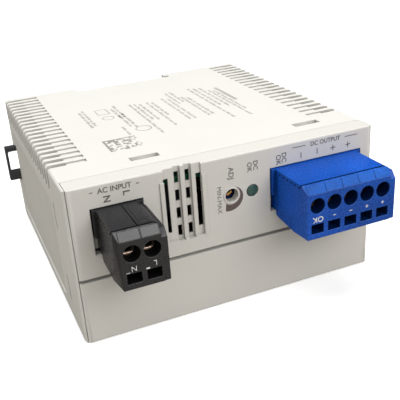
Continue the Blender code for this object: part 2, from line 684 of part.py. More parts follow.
def capacitor(name, x, y, radius, length, look):
    """A round can with a rolled groove near its base, hanging from the board."""
    top = HANG_Z
    low = top - length
    neck = radius - 0.5
    heights = [(radius - 0.6, low), (radius, low + 0.6), (radius, top - 3.2), (neck, top - 2.6)]
    heights += [(neck, top - 2.2), (radius, top - 1.6), (radius, top - 0.4), (radius - 0.4, top)]
    can = turned(name, x, y, heights, 24)
    spread = 2.5 if radius < 7 else 3.75
    add_leads(can, ((x - spread, y), (x + spread, y)), top - 1.0)
    return finish(can, look, True)


def turned(name, x, y, profile, steps):
    """Turn a profile of (radius, height) about a vertical axis."""
    bm = bmesh.new()
    rings = []
    for radius, height in profile:
        circle = arc((x, y), radius, 0, 360 - 360 / steps, steps - 1)
        rings.append([bm.verts.new((*point, height)) for point in circle])
    for a, b in zip(rings, rings[1:]):
        for k in range(steps):
            j = (k + 1) % steps
            bm.faces.new((a[k], a[j], b[j], b[k]))
    bm.faces.new(rings[0])
    bm.faces.new(rings[-1])
    return new_object(name, bm)


def disc_part(name, x, y, radius, thick, look):
    """A coated disc on two leads, standing across the depth."""
    centre_z = HANG_Z - 1.5 - radius
    disc = rod(name, (x, centre_z), "y", radius, y - thick / 2, y + thick / 2, 20)
    add_leads(disc, ((x - 2.5, y), (x + 2.5, y)), centre_z)
    return finish(disc, look, True)


def block_part(name, x, y, z, spots, look):
    """A moulded block on leads."""
    body = prism(name, rounded(x, y, (0.5,) * 4, 1), "z", *z)
    add_leads(body, spots, z[1] - 1.0)
    return finish(body, look)


def mains_side():
    """Parts between the input terminal and the bulk capacitor."""
    fuse_link = turned("input_fuse", 12.5, 20.5, [(4.2, 31.0), (4.2, HANG_Z)], 20)
    add_leads(fuse_link, ((10.0, 20.5), (15.0, 20.5)), 38)
    finish(fuse_link, FUSE_BROWN, True)
    disc_part("surge_varistor", 12.5, 28.5, 5.0, 4.0, EPOXY_BLUE)
    disc_part("inrush_limiter", 12.5, 35.0, 5.0, 4.4, EPOXY_GREEN)
    block_part("x_capacitor", (22, 40), (17, 25.5), (24, HANG_Z), ((23.5, 21.2), (38.5, 21.2)), FILM_GREY)
    spots = [(25.4 + i * 3.8, 30.7) for i in range(4)]
    block_part("bridge_rectifier", (23.5, 38.5), (29, 32.4), (26, HANG_Z - 2), spots, EPOXY_BLACK)
    capacitor("bulk_capacitor", 33.0, 44.0, 9.0, 30.0, SLEEVE_BLACK)
    common_mode_choke()


def common_mode_choke():
    """A ferrite frame with one winding on each long leg."""
    x, y, z = (4.0, 21.0), (42.0, 60.0), (27.0, 33.0)
    core = box("choke_core", x, y, z)
    cut(core, box("window", (x[0] + 4, x[1] - 4), (y[0] + 4, y[1] - 4), (z[0] - 1, z[1] + 1)))
    finish(core, FERRITE)
    for i, leg in enumerate(((x[0], x[0] + 4), (x[1] - 4, x[1]))):
        outer = (leg[0] - 1.6, leg[1] + 1.6)
        shift = 0.6 if i == 0 else 0.0
        outer = (outer[0] + shift, outer[1])
        coil_y = (y[0] + 4 + GAP, y[1] - 4 - GAP)
        section = rounded(outer, (z[0] - 1.6, z[1] + 1.6), (1.0,) * 4, 2)
        winding = prism(f"choke_winding_{i + 1}", section, "y", *coil_y)
        cut(winding, box("way", (leg[0] - GAP, leg[1] + GAP), (0, 90), (z[0] - GAP, z[1] + GAP)))
        middle = sum(leg) / 2
        add_leads(winding, ((middle, coil_y[0] + 1), (middle, coil_y[1] - 1)), z[1] + 0.9)
        finish(winding, WINDING)


def transformer():
    """A split ferrite core round a bobbin, with its winding under tape."""
    x, y, z = (45.0, 73.0), (37.0, 49.0), (14.0, 38.0)
    leg = (54.8, 63.2)
    core = box("transformer_core", x, y, z)
    windows = []
    for pair in ((x[0] + 4, leg[0]), (leg[1], x[1] - 4)):
        windows.append(box("window", pair, (0, 90), (z[0] + 4, z[1] - 4)))
    cut(core, gather("windows", windows))
    finish(core, FERRITE)

    barrel_x = (leg[0] - 1.5, leg[1] + 1.5)
    barrel_y = (y[0] - 2.0, y[1] + 2.0)
    span_z = (z[0] + 4 + GAP, z[1] - 4 - GAP)
    bobbin = box("transformer_bobbin", barrel_x, barrel_y, span_z)
    flange_x = (x[0] + 4 + GAP, x[1] - 4 - GAP)
    flange_y = (y[0] - 6, y[1] + 6)
    fuse(bobbin, box("flange", flange_x, flange_y, (span_z[0], span_z[0] + 1.2)))
    fuse(bobbin, box("flange", flange_x, flange_y, (span_z[1] - 1.2, span_z[1])))
    way_x = (leg[0] - GAP, leg[1] + GAP)
    cut(bobbin, box("way", way_x, (y[0] - GAP, y[1] + GAP), (0, 44)))
    spots = [(50.5 + i * 4.2, row) for row in (flange_y[0] + 1.5, flange_y[1] - 1.5) for i in range(5)]
    add_leads(bobbin, spots, span_z[1] - 0.6)
    finish(bobbin, BOBBIN_BLACK)

    wound_z = (span_z[0] + 1.2 + GAP, span_z[1] - 1.2 - GAP)
    wound_x = (flange_x[0] + 0.4, flange_x[1] - 0.4)
    wound_y = (flange_y[0] + 0.6, flange_y[1] - 0.6)
    winding = prism("transformer_winding", rounded(wound_x, wound_y, (2.0,) * 4, 3), "z", *wound_z)
    inner_x = (barrel_x[0] - GAP, barrel_x[1] + GAP)
    inner_y = (barrel_y[0] - GAP, barrel_y[1] + GAP)
    cut(winding, box("way", inner_x, inner_y, (0, 44)))
    finish(winding, TAPE_YELLOW)


def power_switch():
    """The switching transistor on its heatsink, along the middle of the board."""
    screw_z = 21.4
    plate = box("primary_heatsink", (25, 43), (62, 64.2), (12, HANG_Z))
    cut(plate, rod("screw_way", (34, screw_z), "y", 1.5 + GAP, 60, 66, 16))
    finish(plate, ALUMINIUM)
    body = box("switching_transistor", (29, 39), (57.2, 61.7), (24.5, 33.5))
    fuse(body, box("tab", (29, 39), (60.4, 61.7), (17.5, 26)))
    cut(body, rod("screw_way", (34, screw_z), "y", 1.5 + GAP, 56, 66, 16))
    add_leads(body, ((31.5, 59.4), (34, 59.4), (36.5, 59.4)), 33)
    finish(body, EPOXY_BLACK)
    screw = rod("primary_screw", (34, screw_z), "y", 1.5, 59.5, 66.0, 16)
    fuse(screw, rod("head", (34, screw_z), "y", 2.7, 58.0, 60.1, 16))
    finish(screw, SCREW_STEEL, True)


def output_side():
    """Rectifier, heatsink, filter parts and the feedback path."""
    screw_z = 21.4
    plate = box("secondary_heatsink", (82.5, 84.7), (30, 56), (12, HANG_Z))
    cut(plate, rod("screw_way", (42, screw_z), "x", 1.5 + GAP, 80, 87, 16))
    finish(plate, ALUMINIUM)
    body = box("output_rectifier", (77.7, 82.2), (37, 47), (24.5, 33.5))
    fuse(body, box("tab", (80.9, 82.2), (37, 47), (17.5, 26)))
    cut(body, rod("screw_way", (42, screw_z), "x", 1.5 + GAP, 70, 87, 16))
    add_leads(body, ((79.9, 39.5), (79.9, 42), (79.9, 44.5)), 33)
    finish(body, EPOXY_BLACK)
    screw = rod("secondary_screw", (42, screw_z), "x", 1.5, 79.9, 86.4, 16)
    fuse(screw, rod("head", (42, screw_z), "x", 2.7, 78.5, 80.6, 16))
    finish(screw, SCREW_STEEL, True)

    capacitor("output_capacitor_1", 80.0, 64.5, 5.0, 20.0, SLEEVE_DARK)
    capacitor("output_capacitor_2", 80.0, 76.0, 5.0, 20.0, SLEEVE_DARK)
    drum = [(5.0, 26.0), (5.0, 27.6), (2.4, 27.6), (2.4, 37.4), (5.0, 37.4), (5.0, HANG_Z)]
    core = turned("output_choke_core", 67.0, 66.0, drum, 20)
    add_leads(core, ((64.5, 66), (69.5, 66)), 38)
    finish(core, FERRITE, True)
    outer = turned("output_choke_winding", 67.0, 66.0, [(4.6, 27.9), (4.6, 37.1)], 20)
    cut(outer, rod("way", (67.0, 66.0), "z", 2.7, 20, 44, 20))
    finish(outer, WINDING, True)

    spots = [(x, y) for x in (53.2, 57.0) for y in (62.7, 65.3)]
    block_part("optocoupler", (52.0, 58.2), (61.0, 67.0), (35.4, HANG_Z), spots, EPOXY_BLACK)
    disc_part("y_capacitor", 55.0, 72.0, 4.0, 3.6, EPOXY_BLUE)
    chip = prism("control_chip", rounded((45.5, 49.5), (70.0, 75.0), (0.3,) * 4, 1), "z", 37.4, HANG_Z)
    finish(chip, EPOXY_BLACK)


def main_circuit_board():
    """The board, with a hole for every lead that passes it."""
    board = box("main_circuit_board", BOARD_X, BOARD_Y, BOARD_Z)
    holes = []
    for x, y, half in leads:
        reach = half + GAP
        through = (BOARD_Z[0] - 1, BOARD_Z[1] + 1)
        holes.append(box("hole", (x - reach, x + reach), (y - reach, y + reach), through))
    cut(board, gather("holes", holes))
    return finish(board, BOARD_GREEN)


def main():
    for obj in list(bpy.data.objects):
        bpy.data.objects.remove(obj)
    housing_shell()
    front_cover()
    din_latch()
    latch_spring()
    plug("input", INPUT_X, INPUT_POLES, PLUG_BLACK)
    plug("output", OUTPUT_X, OUTPUT_POLES, PLUG_BLUE)
    header("input_header", INPUT_X, INPUT_POLES)
    header("output_header", OUTPUT_X, OUTPUT_POLES)
    header_pins("input", INPUT_X, INPUT_POLES)
    header_pins("output", OUTPUT_X, OUTPUT_POLES)
    status_light()
    trimmer()
    mains_side()
    transformer()
    power_switch()
    output_side()
    main_circuit_board()


main()
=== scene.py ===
"""Looks for the DIN rail power supply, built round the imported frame.

Shapes are written in housing millimetres: x toward the output end, y from the terminal face to the rail,
z up out of the printed side. place() turns them into the frame's metres from the housing's own box.
"""

import math
import random

import bmesh
import bpy
from mathutils import Matrix, Vector


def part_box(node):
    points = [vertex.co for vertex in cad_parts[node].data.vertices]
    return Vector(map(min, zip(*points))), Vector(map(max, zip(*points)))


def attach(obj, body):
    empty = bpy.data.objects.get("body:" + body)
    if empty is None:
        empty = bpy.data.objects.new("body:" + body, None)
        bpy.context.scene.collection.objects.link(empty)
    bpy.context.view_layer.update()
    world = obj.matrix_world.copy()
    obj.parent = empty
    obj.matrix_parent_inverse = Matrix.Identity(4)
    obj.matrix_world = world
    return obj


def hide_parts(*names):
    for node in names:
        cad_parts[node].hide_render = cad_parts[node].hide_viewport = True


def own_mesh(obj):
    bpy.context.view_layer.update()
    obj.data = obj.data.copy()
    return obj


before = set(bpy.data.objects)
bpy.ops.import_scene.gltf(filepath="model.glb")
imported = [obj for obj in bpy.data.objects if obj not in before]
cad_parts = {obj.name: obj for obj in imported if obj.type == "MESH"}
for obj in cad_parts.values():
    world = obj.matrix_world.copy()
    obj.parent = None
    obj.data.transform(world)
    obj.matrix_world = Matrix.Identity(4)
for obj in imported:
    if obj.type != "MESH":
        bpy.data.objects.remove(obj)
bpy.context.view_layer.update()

# The housing's box and the seam between its two halves
HEIGHT_X = 90.0
DEPTH_Y = 94.0
WIDTH_Z = 44.5
WALL = 2.0
CORNER_R = 2.2
EDGE_R = 1.0
FRONT_EDGE_R = 0.5
CAVITY_BACK = 85.6
COVER_THICK = 2.2
FLANGE_DEPTH = 6.3
SEAM_X = 0.9
SEAM = 0.14
GAP = 0.3

# Rail seat and latch
SEAT_Y = 89.6
BRIM_LOW = 26.2
BRIM_HIGH = 61.2
BRIM_LIP_Y = 90.9
HOOK_X = 60.0
LATCH_Z = (16.2, 28.8)
LATCH_Y = (87.9, 90.8)
LATCH_OUT = -3.6
SPRING_X = (11.6, 21.7)
PULL_WINDOW_X = (LATCH_OUT + 0.8, 4.0)
PULL_WINDOW_Z = (19.4, 27.2)

# Slots along the long edges and on the end walls
VENT_COUNT = 20
VENT_FIRST_Y = 18.6
VENT_LAST_Y = 90.6
VENT_WIDTH = 2.15
VENT_CUT = 5.5
VENT_DEPTH = 1.5
VENT_GROOVE = 10.9
VENT_GROOVE_DEPTH = 0.5
VENT_NOTCH_DEPTH = 0.85
VENT_NOTCH_Z = 38.0
VENT_FLOOR_RISE = 0.9
PANEL_Y = (20.2, 88.0)
PANEL_Z = (4.0, 34.5)
PANEL_DEPTH = 0.35
PANEL_R = 3.0
END_SLOTS = ((16.5, 27.1, 35.4), (13.0, 6.3, 14.9))
WINDOW_Y = (10.8, 13.4)
NUB_RISE = 2.6
WINDOW_XS = ((21.0, 29.2), (70.8, 79.0))

# Terminals
PITCH = 5.08
OPENING_EXTRA = 3.75
OPENING_Z = (25.6, 38.4)
FIRST_POLE = 5.25
PLUG_FRONT = -15.75
PLUG_TOP = 38.2
RIDGE_Y = -14.1
FACE_TOP = 35.6
FACE_BOTTOM = 22.8
HEEL_BOTTOM = 24.2
HOLE_Z = 32.3
HOLE_R = 2.15
SLOT_Z = (24.4, 27.1)
SLOT_HALF = 1.85
INSERT_BACK = 9.5
CHAMBER_Y = (-11.5, -1.5)
CHAMBER_Z = (25.4, 36.6)
CHAMBER_HALF = 2.1
PLUGS = {"input": (6.1, 2), "output": (56.35, 5)}
BODY_LEFT = 3.9
BODY_RIGHT = 2.5
EAR_RIGHT = 3.95
RIDGE_RIGHT = 2.3
PLATE_RISE = 0.16
RIDGE_GAP = (0.6, 0.8)
LIP_Y = (-11.4, -10.6)
LIP_Z = (28.6, 30.75)
LIP_HALF = 1.75

# Front face
GROOVE_Z = (18.4, 19.3)
GROOVE_DEPTH = 1.5
VENT_BLOCK_X = (24.6, 37.4)
VENT_BLOCK_Z = (23.9, 41.3)
VENT_RAIL = 1.2
VENT_RECESS = 0.6
VENT_BANDS = (29.7, 32.75)
VENT_BAND_HALF = 0.95
VENT_BAND_DEPTH = 1.4
SLOT_LOW_X = (25.6, 27.15)
SLOT_HIGH_X = (34.85, 36.3)
RAIL_PROUD = 0.45
TRIMMER_XZ = (44.6, 33.3)
ROTOR_Y = (2.5, 4.3)
LED_XZ = (50.9, 33.2)
LIGHT_HOLE_R = 1.8
TRIMMER_HOLE_R = 1.88
RING_R = (2.3, 2.42)
RING_PROUD = 0.25

shell_low, shell_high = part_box("housing_shell")
ORIGIN = Vector((shell_low.x, shell_high.y - DEPTH_Y / 1000, shell_low.z))


def place(x, y, z):
    """Housing millimetres to the frame's metres."""
    return ORIGIN + Vector((x, y, z)) / 1000


# ---- mesh helpers ----


def link(obj):
    """Put an object in the scene."""
    bpy.context.scene.collection.objects.link(obj)


def new_object(name, bm):
    """Turn a bmesh, in housing millimetres, into a named object in metres."""
    bmesh.ops.recalc_face_normals(bm, faces=bm.faces)
    for vert in bm.verts:
        vert.co = place(*vert.co)
    mesh = bpy.data.meshes.new(name)
    bm.to_mesh(mesh)
    bm.free()
    obj = bpy.data.objects.new(name, mesh)
    link(obj)
    return obj


def skin(bm, rings):
    """Faces between each ring of vertices and the next."""
    for a, b in zip(rings, rings[1:]):
        for i in range(len(a)):
            j = (i + 1) % len(a)
            bm.faces.new((a[i], a[j], b[j], b[i]))


def loft(name, sections, axis="y"):
    """Join outlines of equal length, each with its position along the axis, into one body."""
    bm = bmesh.new()
    rings = []
    for along, outline in sections:
        ring = []
        for point in outline:
            coords = list(point)
            coords.insert("xyz".index(axis), along)
            ring.append(bm.verts.new(coords))
        rings.append(ring)
    bm.faces.new(rings[0])
    bm.faces.new(rings[-1])
    skin(bm, rings)
    return new_object(name, bm)


def prism(name, outline, axis, low, high):
    """A straight body with one outline."""
    return loft(name, [(low, outline), (high, outline)], axis)


def rect(a, b, grow=0.0):
    """Corners of a rectangle from two (low, high) pairs, grown on every side."""
    low_a, high_a = a[0] - grow, a[1] + grow
    low_b, high_b = b[0] - grow, b[1] + grow
    return [(low_a, low_b), (high_a, low_b), (high_a, high_b), (low_a, high_b)]


def box(name, x, y, z):
    """A block from three (low, high) pairs."""
    return prism(name, rect(x, y), "z", *z)


def arc(centre, radius, start, end, steps):
    """Points along an arc, angles in degrees."""
    points = []
    for i in range(steps + 1):
        angle = math.radians(start + (end - start) * i / steps)
        points.append((centre[0] + radius * math.cos(angle), centre[1] + radius * math.sin(angle)))
    return points


def circle(centre, radius, steps=48):
    """Points round a full circle."""
    return arc(centre, radius, 0, 360 - 360 / steps, steps - 1)


def rounded(x, y, radii, steps=8):
    """A rectangle with its own radius at each corner, from the low corner round."""
    corners = ((x[0], y[0], 1, 1), (x[1], y[0], -1, 1), (x[1], y[1], -1, -1), (x[0], y[1], 1, -1))
    points = []
    for i, ((cx, cy, sx, sy), r) in enumerate(zip(corners, radii)):
        start = 180 + 90 * i
        points += arc((cx + sx * r, cy + sy * r), r, start, start + 90, steps)
    return points


def apply_modifiers(obj):
    """Put the modified mesh in place of the object's own."""
    graph = bpy.context.evaluated_depsgraph_get()
    mesh = bpy.data.meshes.new_from_object(obj.evaluated_get(graph), depsgraph=graph)
    obj.modifiers.clear()
    old = obj.data
    obj.data = mesh
    bpy.data.meshes.remove(old)
    mesh.name = obj.name
    return obj


def boolean(obj, tools, operation):
    """Apply exact booleans one after another, and drop the tools."""
    for tool in tools:
        modifier = obj.modifiers.new("cut", "BOOLEAN")
        modifier.object = tool
        modifier.operation = operation
        modifier.solver = "EXACT"
        apply_modifiers(obj)
        bpy.data.objects.remove(tool)
    return obj


def cut(obj, *tools):
    return boolean(obj, tools, "DIFFERENCE")


def fuse(obj, *tools):
    return boolean(obj, tools, "UNION")


def common(obj, *tools):
    return boolean(obj, tools, "INTERSECT")


def soften(obj, width, segments=2, angle=28):
    """Round a plain body's edges before anything is cut into it."""
    modifier = obj.modifiers.new("soften", "BEVEL")
    modifier.width = width / 1000
    modifier.segments = segments
    modifier.limit_method = "ANGLE"
    modifier.angle_limit = math.radians(angle)
    return apply_modifiers(obj)


def gather(name, objects):
    """Join objects that don't touch into one."""
    bm = bmesh.new()
    for obj in objects:
        bm.from_mesh(obj.data)
        bpy.data.objects.remove(obj)
    mesh = bpy.data.meshes.new(name)
    bm.to_mesh(mesh)
    bm.free()
    group = bpy.data.objects.new(name, mesh)
    link(group)
    return group


def mouth(name, make_outline, front, back, flare):
    """A cutter through a face that looks along -Y, opening out by the flare at its mouth."""
    sections = [(front - 0.5, make_outline(flare + 0.5)), (front + flare, make_outline(0.0))]
    return loft(name, sections + [(back, make_outline(0.0))], "y")


def finish(obj, material, angle=32):
    """Give a piece its material and smooth its rounded parts, keeping flat faces flat."""
    obj.data.materials.clear()
    obj.data.materials.append(material)
    obj.data.shade_smooth()
    obj.data.set_sharp_from_angle(angle=math.radians(angle))
    modifier = obj.modifiers.new("normals", "WEIGHTED_NORMAL")
    modifier.keep_sharp = True
    return obj


def settle(obj, body, slot, *nodes):
    """Ride a body and hide the CAD nodes that the piece stands for; the slot is not used."""
    if nodes:
        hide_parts(*nodes)
    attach(obj, body)
    return obj


# ---- materials ----

NOISE = (0.3, 0.7)
# Reach of the painted shade that darkens crevices
CREVICE_SHADE_REACH = 0.004
GRAIN_HEIGHT = 0.00004


def add(tree, kind, inputs=None, **settings):
    """Add a shader node, set its properties and fill or link its inputs."""
    node = tree.nodes.new(kind)
    for key, value in settings.items():
        setattr(node, key, value)
    for key, value in (inputs or {}).items():
        if isinstance(value, bpy.types.NodeSocket):
            tree.links.new(value, node.inputs[key])
        else:
            node.inputs[key].default_value = value
    return node


def blend_colour(tree, factor, a, b):
    """Mix two colours or colour sockets by a factor."""
    return add(tree, "ShaderNodeMix", {0: factor, 6: a, 7: b}, data_type="RGBA").outputs[2]


def span(tree, value, low, high, to_low=0.0, to_high=1.0):
    """Map a value's range onto another."""
    inputs = {"Value": value, "From Min": low, "From Max": high, "To Min": to_low, "To Max": to_high}
    return add(tree, "ShaderNodeMapRange", inputs).outputs["Result"]


def shade(colour, factor):
    """A colour made lighter or darker, with alpha."""
    return tuple(min(1.0, c * factor) for c in colour) + (1.0,)


def surface(name, colour, rough, **options):
    """A procedural finish: broad tint changes, fine grain, worn edges, painted shade in crevices, grain in
    roughness and bump.
    """
    opts = {"grain": 0.3, "bump": 0.3, "mottle": 0.03, "wear": 0.25, "metal": 0.0, "edge": 0.22, "worn": None}
    opts.update({"coat": 0.0, "brush": None, "sheen": 0.5, "graze": None, "crevice": 0.0})
    opts.update(options)
    material = bpy.data.materials.new(name)
    material.use_nodes = True
    tree = material.node_tree
    shader = tree.nodes["Principled BSDF"]
    where = add(tree, "ShaderNodeTexCoord").outputs["Object"]
    where_fine = where
    if opts["brush"]:
        inputs = {"Vector": where, "Scale": opts["brush"]}
        where_fine = add(tree, "ShaderNodeMapping", inputs).outputs["Vector"]
    broad = add(tree, "ShaderNodeTexNoise", {"Vector": where, "Scale": 70.0, "Detail": 4.0}).outputs["Fac"]
    fine_scale = 1000 / opts["grain"]
    fine = add(tree, "ShaderNodeTexNoise", {"Vector": where_fine, "Scale": fine_scale, "Detail": 3.0})
    fine = fine.outputs["Fac"]
    spread = opts["mottle"]
    tint = span(tree, broad, *NOISE)
    base = blend_colour(tree, tint, shade(colour, 1 - spread), shade(colour, 1 + spread))
    grain = span(tree, fine, *NOISE, 1 - spread * 0.8, 1 + spread * 0.8)
    base = add(tree, "ShaderNodeVectorMath", {0: base, 1: grain}, operation="MULTIPLY").outputs["Vector"]
    inputs = {"Radius": opts["edge"] / 1000}
    rounded_normal = add(tree, "ShaderNodeBevel", inputs, samples=4).outputs["Normal"]
    true_normal = add(tree, "ShaderNodeNewGeometry").outputs["Normal"]
    dot = add(tree, "ShaderNodeVectorMath", {0: rounded_normal, 1: true_normal}, operation="DOT_PRODUCT")
    edge = span(tree, dot.outputs["Value"], 0.995, 0.85)
    scuff = add(tree, "ShaderNodeTexNoise", {"Vector": where, "Scale": 420.0, "Detail": 5.0}).outputs["Fac"]
    scuff = span(tree, scuff, 0.42, 0.62, 0.25, 1.0)
    wear = add(tree, "ShaderNodeMath", {0: edge, 1: scuff}, operation="MULTIPLY").outputs[0]
    wear = add(tree, "ShaderNodeMath", {0: wear, 1: opts["wear"]}, operation="MULTIPLY").outputs[0]
    worn = opts["worn"] or tuple(min(1.0, c * 1.25 + 0.03) for c in colour)
    base = blend_colour(tree, wear, base, (*worn, 1.0))
    # Painted shade: an ambient occlusion mask darkens the colour in crevices, slots and recesses
    if opts["crevice"]:
        inputs = {"Distance": CREVICE_SHADE_REACH}
        hollow = add(tree, "ShaderNodeAmbientOcclusion", inputs, samples=8, only_local=True).outputs["AO"]
        hollow = span(tree, hollow, 0.85, 0.3, 0.0, opts["crevice"])
        base = blend_colour(tree, hollow, base, shade(colour, 0.12))
    tree.links.new(base, shader.inputs["Base Color"])
    tree.links.new(span(tree, fine, *NOISE, rough - 0.05, rough + 0.05), shader.inputs["Roughness"])
    shader.inputs["Metallic"].default_value = opts["metal"]
    shader.inputs["Specular IOR Level"].default_value = opts["sheen"]
    if opts["graze"] is not None:
        facing = add(tree, "ShaderNodeLayerWeight").outputs["Facing"]
        level = span(tree, facing, 0.15, 0.55, opts["sheen"], opts["graze"])
        tree.links.new(level, shader.inputs["Specular IOR Level"])
    shader.inputs["Coat Weight"].default_value = opts["coat"]
    shader.inputs["Coat Roughness"].default_value = 0.15
    inputs = {"Strength": opts["bump"], "Distance": GRAIN_HEIGHT, "Height": fine, "Normal": rounded_normal}
    tree.links.new(add(tree, "ShaderNodeBump", inputs).outputs["Normal"], shader.inputs["Normal"])
    return material


GREY_LOOK = {"grain": 0.22, "bump": 0.25, "mottle": 0.012, "sheen": 0.3}
# The shell and the cover carry painted shade in their slots and recesses
SHELL = surface("shell_plastic", (0.700, 0.690, 0.645), 0.5, crevice=0.52, **GREY_LOOK)
# The sunk end panels get a rougher, bumpier copy of the shell plastic; its darker tone is painted shade
PANEL = surface("panel_texture_and_shade", (0.640, 0.630, 0.587), 0.65, grain=0.4, bump=0.5, mottle=0.02, sheen=0.3)
COVER = surface("cover_plastic", (0.660, 0.640, 0.595), 0.5, crevice=0.35, **GREY_LOOK)
# The plugs carry strong painted shade in their holes, slots and recesses
PLUG_LOOK = {"grain": 0.5, "bump": 0.1, "sheen": 0.5, "crevice": 0.92, "edge": 0.3}
# Plug edge colours: real edge wear, made light enough to paint the highlight along the plugs' edges too; the
# blue's strong mottle is partly painted reflection streaks on its top
BLACK_WORN_GLINT, BLUE_WORN_GLINT = (0.10, 0.10, 0.105), (0.02, 0.17, 0.72)
BLACK = surface(
    "black_plastic", (0.021, 0.0215, 0.0235), 0.3, mottle=0.14, wear=0.7, worn=BLACK_WORN_GLINT, graze=0.13,
    **PLUG_LOOK
)
BLUE = surface(
    "blue_plastic", (0.003, 0.070, 0.40), 0.28, mottle=0.2, wear=0.6, worn=BLUE_WORN_GLINT, graze=0.05,
    **PLUG_LOOK
)
# Darker copies of the plug plastics: painted shade inside the wire holes, the tool slots and the ridge groove
HOLE_SHADE_LOOK = {"grain": 0.5, "bump": 0.1, "sheen": 0.1, "mottle": 0.1, "wear": 0.1}
BLACK_HOLE_SHADE = surface("black_hole_shade", (0.006, 0.006, 0.007), 0.6, **HOLE_SHADE_LOOK)
BLUE_HOLE_SHADE = surface("blue_hole_shade", (0.001, 0.014, 0.075), 0.6, **HOLE_SHADE_LOOK)
# Lighter copies of the plug plastics for the sloping plates: the lighter tint and strong mottle are painted
# sheen standing in for reflected light
PLATE_SHEEN_LOOK = {"grain": 0.6, "bump": 0.12, "mottle": 0.25, "wear": 0.5, "edge": 0.3}
BLACK_PLATE_SHEEN = surface("black_plate_sheen", (0.055, 0.055, 0.057), 0.25, worn=(0.22, 0.22, 0.225), **PLATE_SHEEN_LOOK)
BLUE_PLATE_SHEEN = surface(
    "blue_plate_sheen", (0.003, 0.095, 0.46), 0.3, worn=(0.03, 0.24, 0.85), sheen=0.14, **PLATE_SHEEN_LOOK
)
LATCH = surface("latch_plastic", (0.045, 0.046, 0.052), 0.42, grain=0.4, mottle=0.06, wear=0.5, sheen=0.4)
STEEL = surface("spring_wire", (0.60, 0.60, 0.61), 0.28, metal=1.0, grain=0.15, bump=0.15)
COPPER_DIM = surface(
    "copper_in_shadow", (0.13, 0.085, 0.065), 0.4, metal=0.3, grain=0.2, bump=0.2, mottle=0.06
)
COPPER = surface("copper_alloy", (0.95, 0.68, 0.54), 0.34, metal=0.7, grain=0.2, bump=0.2, mottle=0.06)
HEADER = surface("header_plastic", (0.60, 0.58, 0.53), 0.5, grain=0.3, mottle=0.03)
TIN = surface("tinned_pin", (0.78, 0.78, 0.76), 0.26, metal=1.0, grain=0.2, bump=0.15)
LENS = surface(
    "green_lens", (0.035, 0.085, 0.065), 0.28, grain=1.2, bump=0.1, mottle=0.15, wear=0.1, coat=0.4
)
LED = surface("green_lamp", (0.05, 0.35, 0.10), 0.2, grain=0.8, bump=0.05, coat=0.5)
TRIM_BODY = surface("trimmer_case", (0.03, 0.10, 0.35), 0.4, grain=0.3)
ROTOR = surface("rotor_plastic", (0.012, 0.018, 0.055), 0.4, grain=0.25, mottle=0.08, sheen=0.3)
WIPER = surface("brass_wiper", (1.0, 0.50, 0.10), 0.4, metal=0.2, grain=0.2, bump=0.2, mottle=0.05)
INK = surface("dark_ink", (0.16, 0.15, 0.145), 0.55, grain=0.12, bump=0.1, mottle=0.15, wear=0.0)
PALE_INK = surface("label_ink", (0.42, 0.41, 0.39), 0.6, grain=0.12, bump=0.1, mottle=0.1, wear=0.0)
CODE_INK = surface("code_ink", (0.33, 0.31, 0.27), 0.6, grain=0.12, bump=0.1, mottle=0.12, wear=0.0)
WEDGE_INK = surface("wedge_ink", (0.125, 0.092, 0.085), 0.5, grain=0.25, bump=0.15, mottle=0.15, wear=0.0)
WHITE_INK = surface("white_ink", (0.80, 0.80, 0.79), 0.5, grain=0.15, bump=0.15, mottle=0.06, wear=0.0)
BOARD = surface("solder_resist", (0.015, 0.13, 0.07), 0.35, grain=0.5, bump=0.25, mottle=0.12, coat=0.2)
FERRITE = surface("ferrite", (0.05, 0.05, 0.055), 0.6, grain=0.25, bump=0.4, mottle=0.12)
BOBBIN = surface("bobbin_plastic", (0.04, 0.04, 0.04), 0.45, grain=0.3, mottle=0.08)
TAPE = surface(
    "polyester_tape", (0.75, 0.58, 0.10), 0.35, grain=0.8, bump=0.15, mottle=0.08, brush=(1, 1, 6)
)
SLEEVE = surface("dark_sleeve", (0.035, 0.038, 0.055), 0.32, grain=0.6, bump=0.15, mottle=0.08, coat=0.3)
EPOXY = surface("black_epoxy", (0.03, 0.03, 0.03), 0.55, grain=0.2, bump=0.5, mottle=0.1)
EPOXY_BLUE = surface("blue_epoxy", (0.04, 0.16, 0.42), 0.35, grain=0.9, bump=0.3, mottle=0.08, coat=0.3)
EPOXY_GREEN = surface("green_epoxy", (0.08, 0.22, 0.10), 0.38, grain=0.9, bump=0.3, mottle=0.08, coat=0.3)
FILM = surface("film_case", (0.05, 0.055, 0.07), 0.4, grain=0.3, mottle=0.05)
FUSE = surface("fuse_case", (0.20, 0.09, 0.05), 0.4, grain=0.3, mottle=0.06)
WINDING = surface(
    "enamelled_wire", (0.62, 0.28, 0.10), 0.3, metal=0.7, grain=0.6, bump=0.8, brush=(1, 8, 1)
)
ALUMINIUM = surface("aluminium", (0.72, 0.73, 0.74), 0.32, metal=1.0, grain=0.5, bump=0.2, brush=(12, 1, 1))
SCREW = surface("zinc_steel", (0.66, 0.66, 0.66), 0.25, metal=1.0, grain=0.3, bump=0.1)

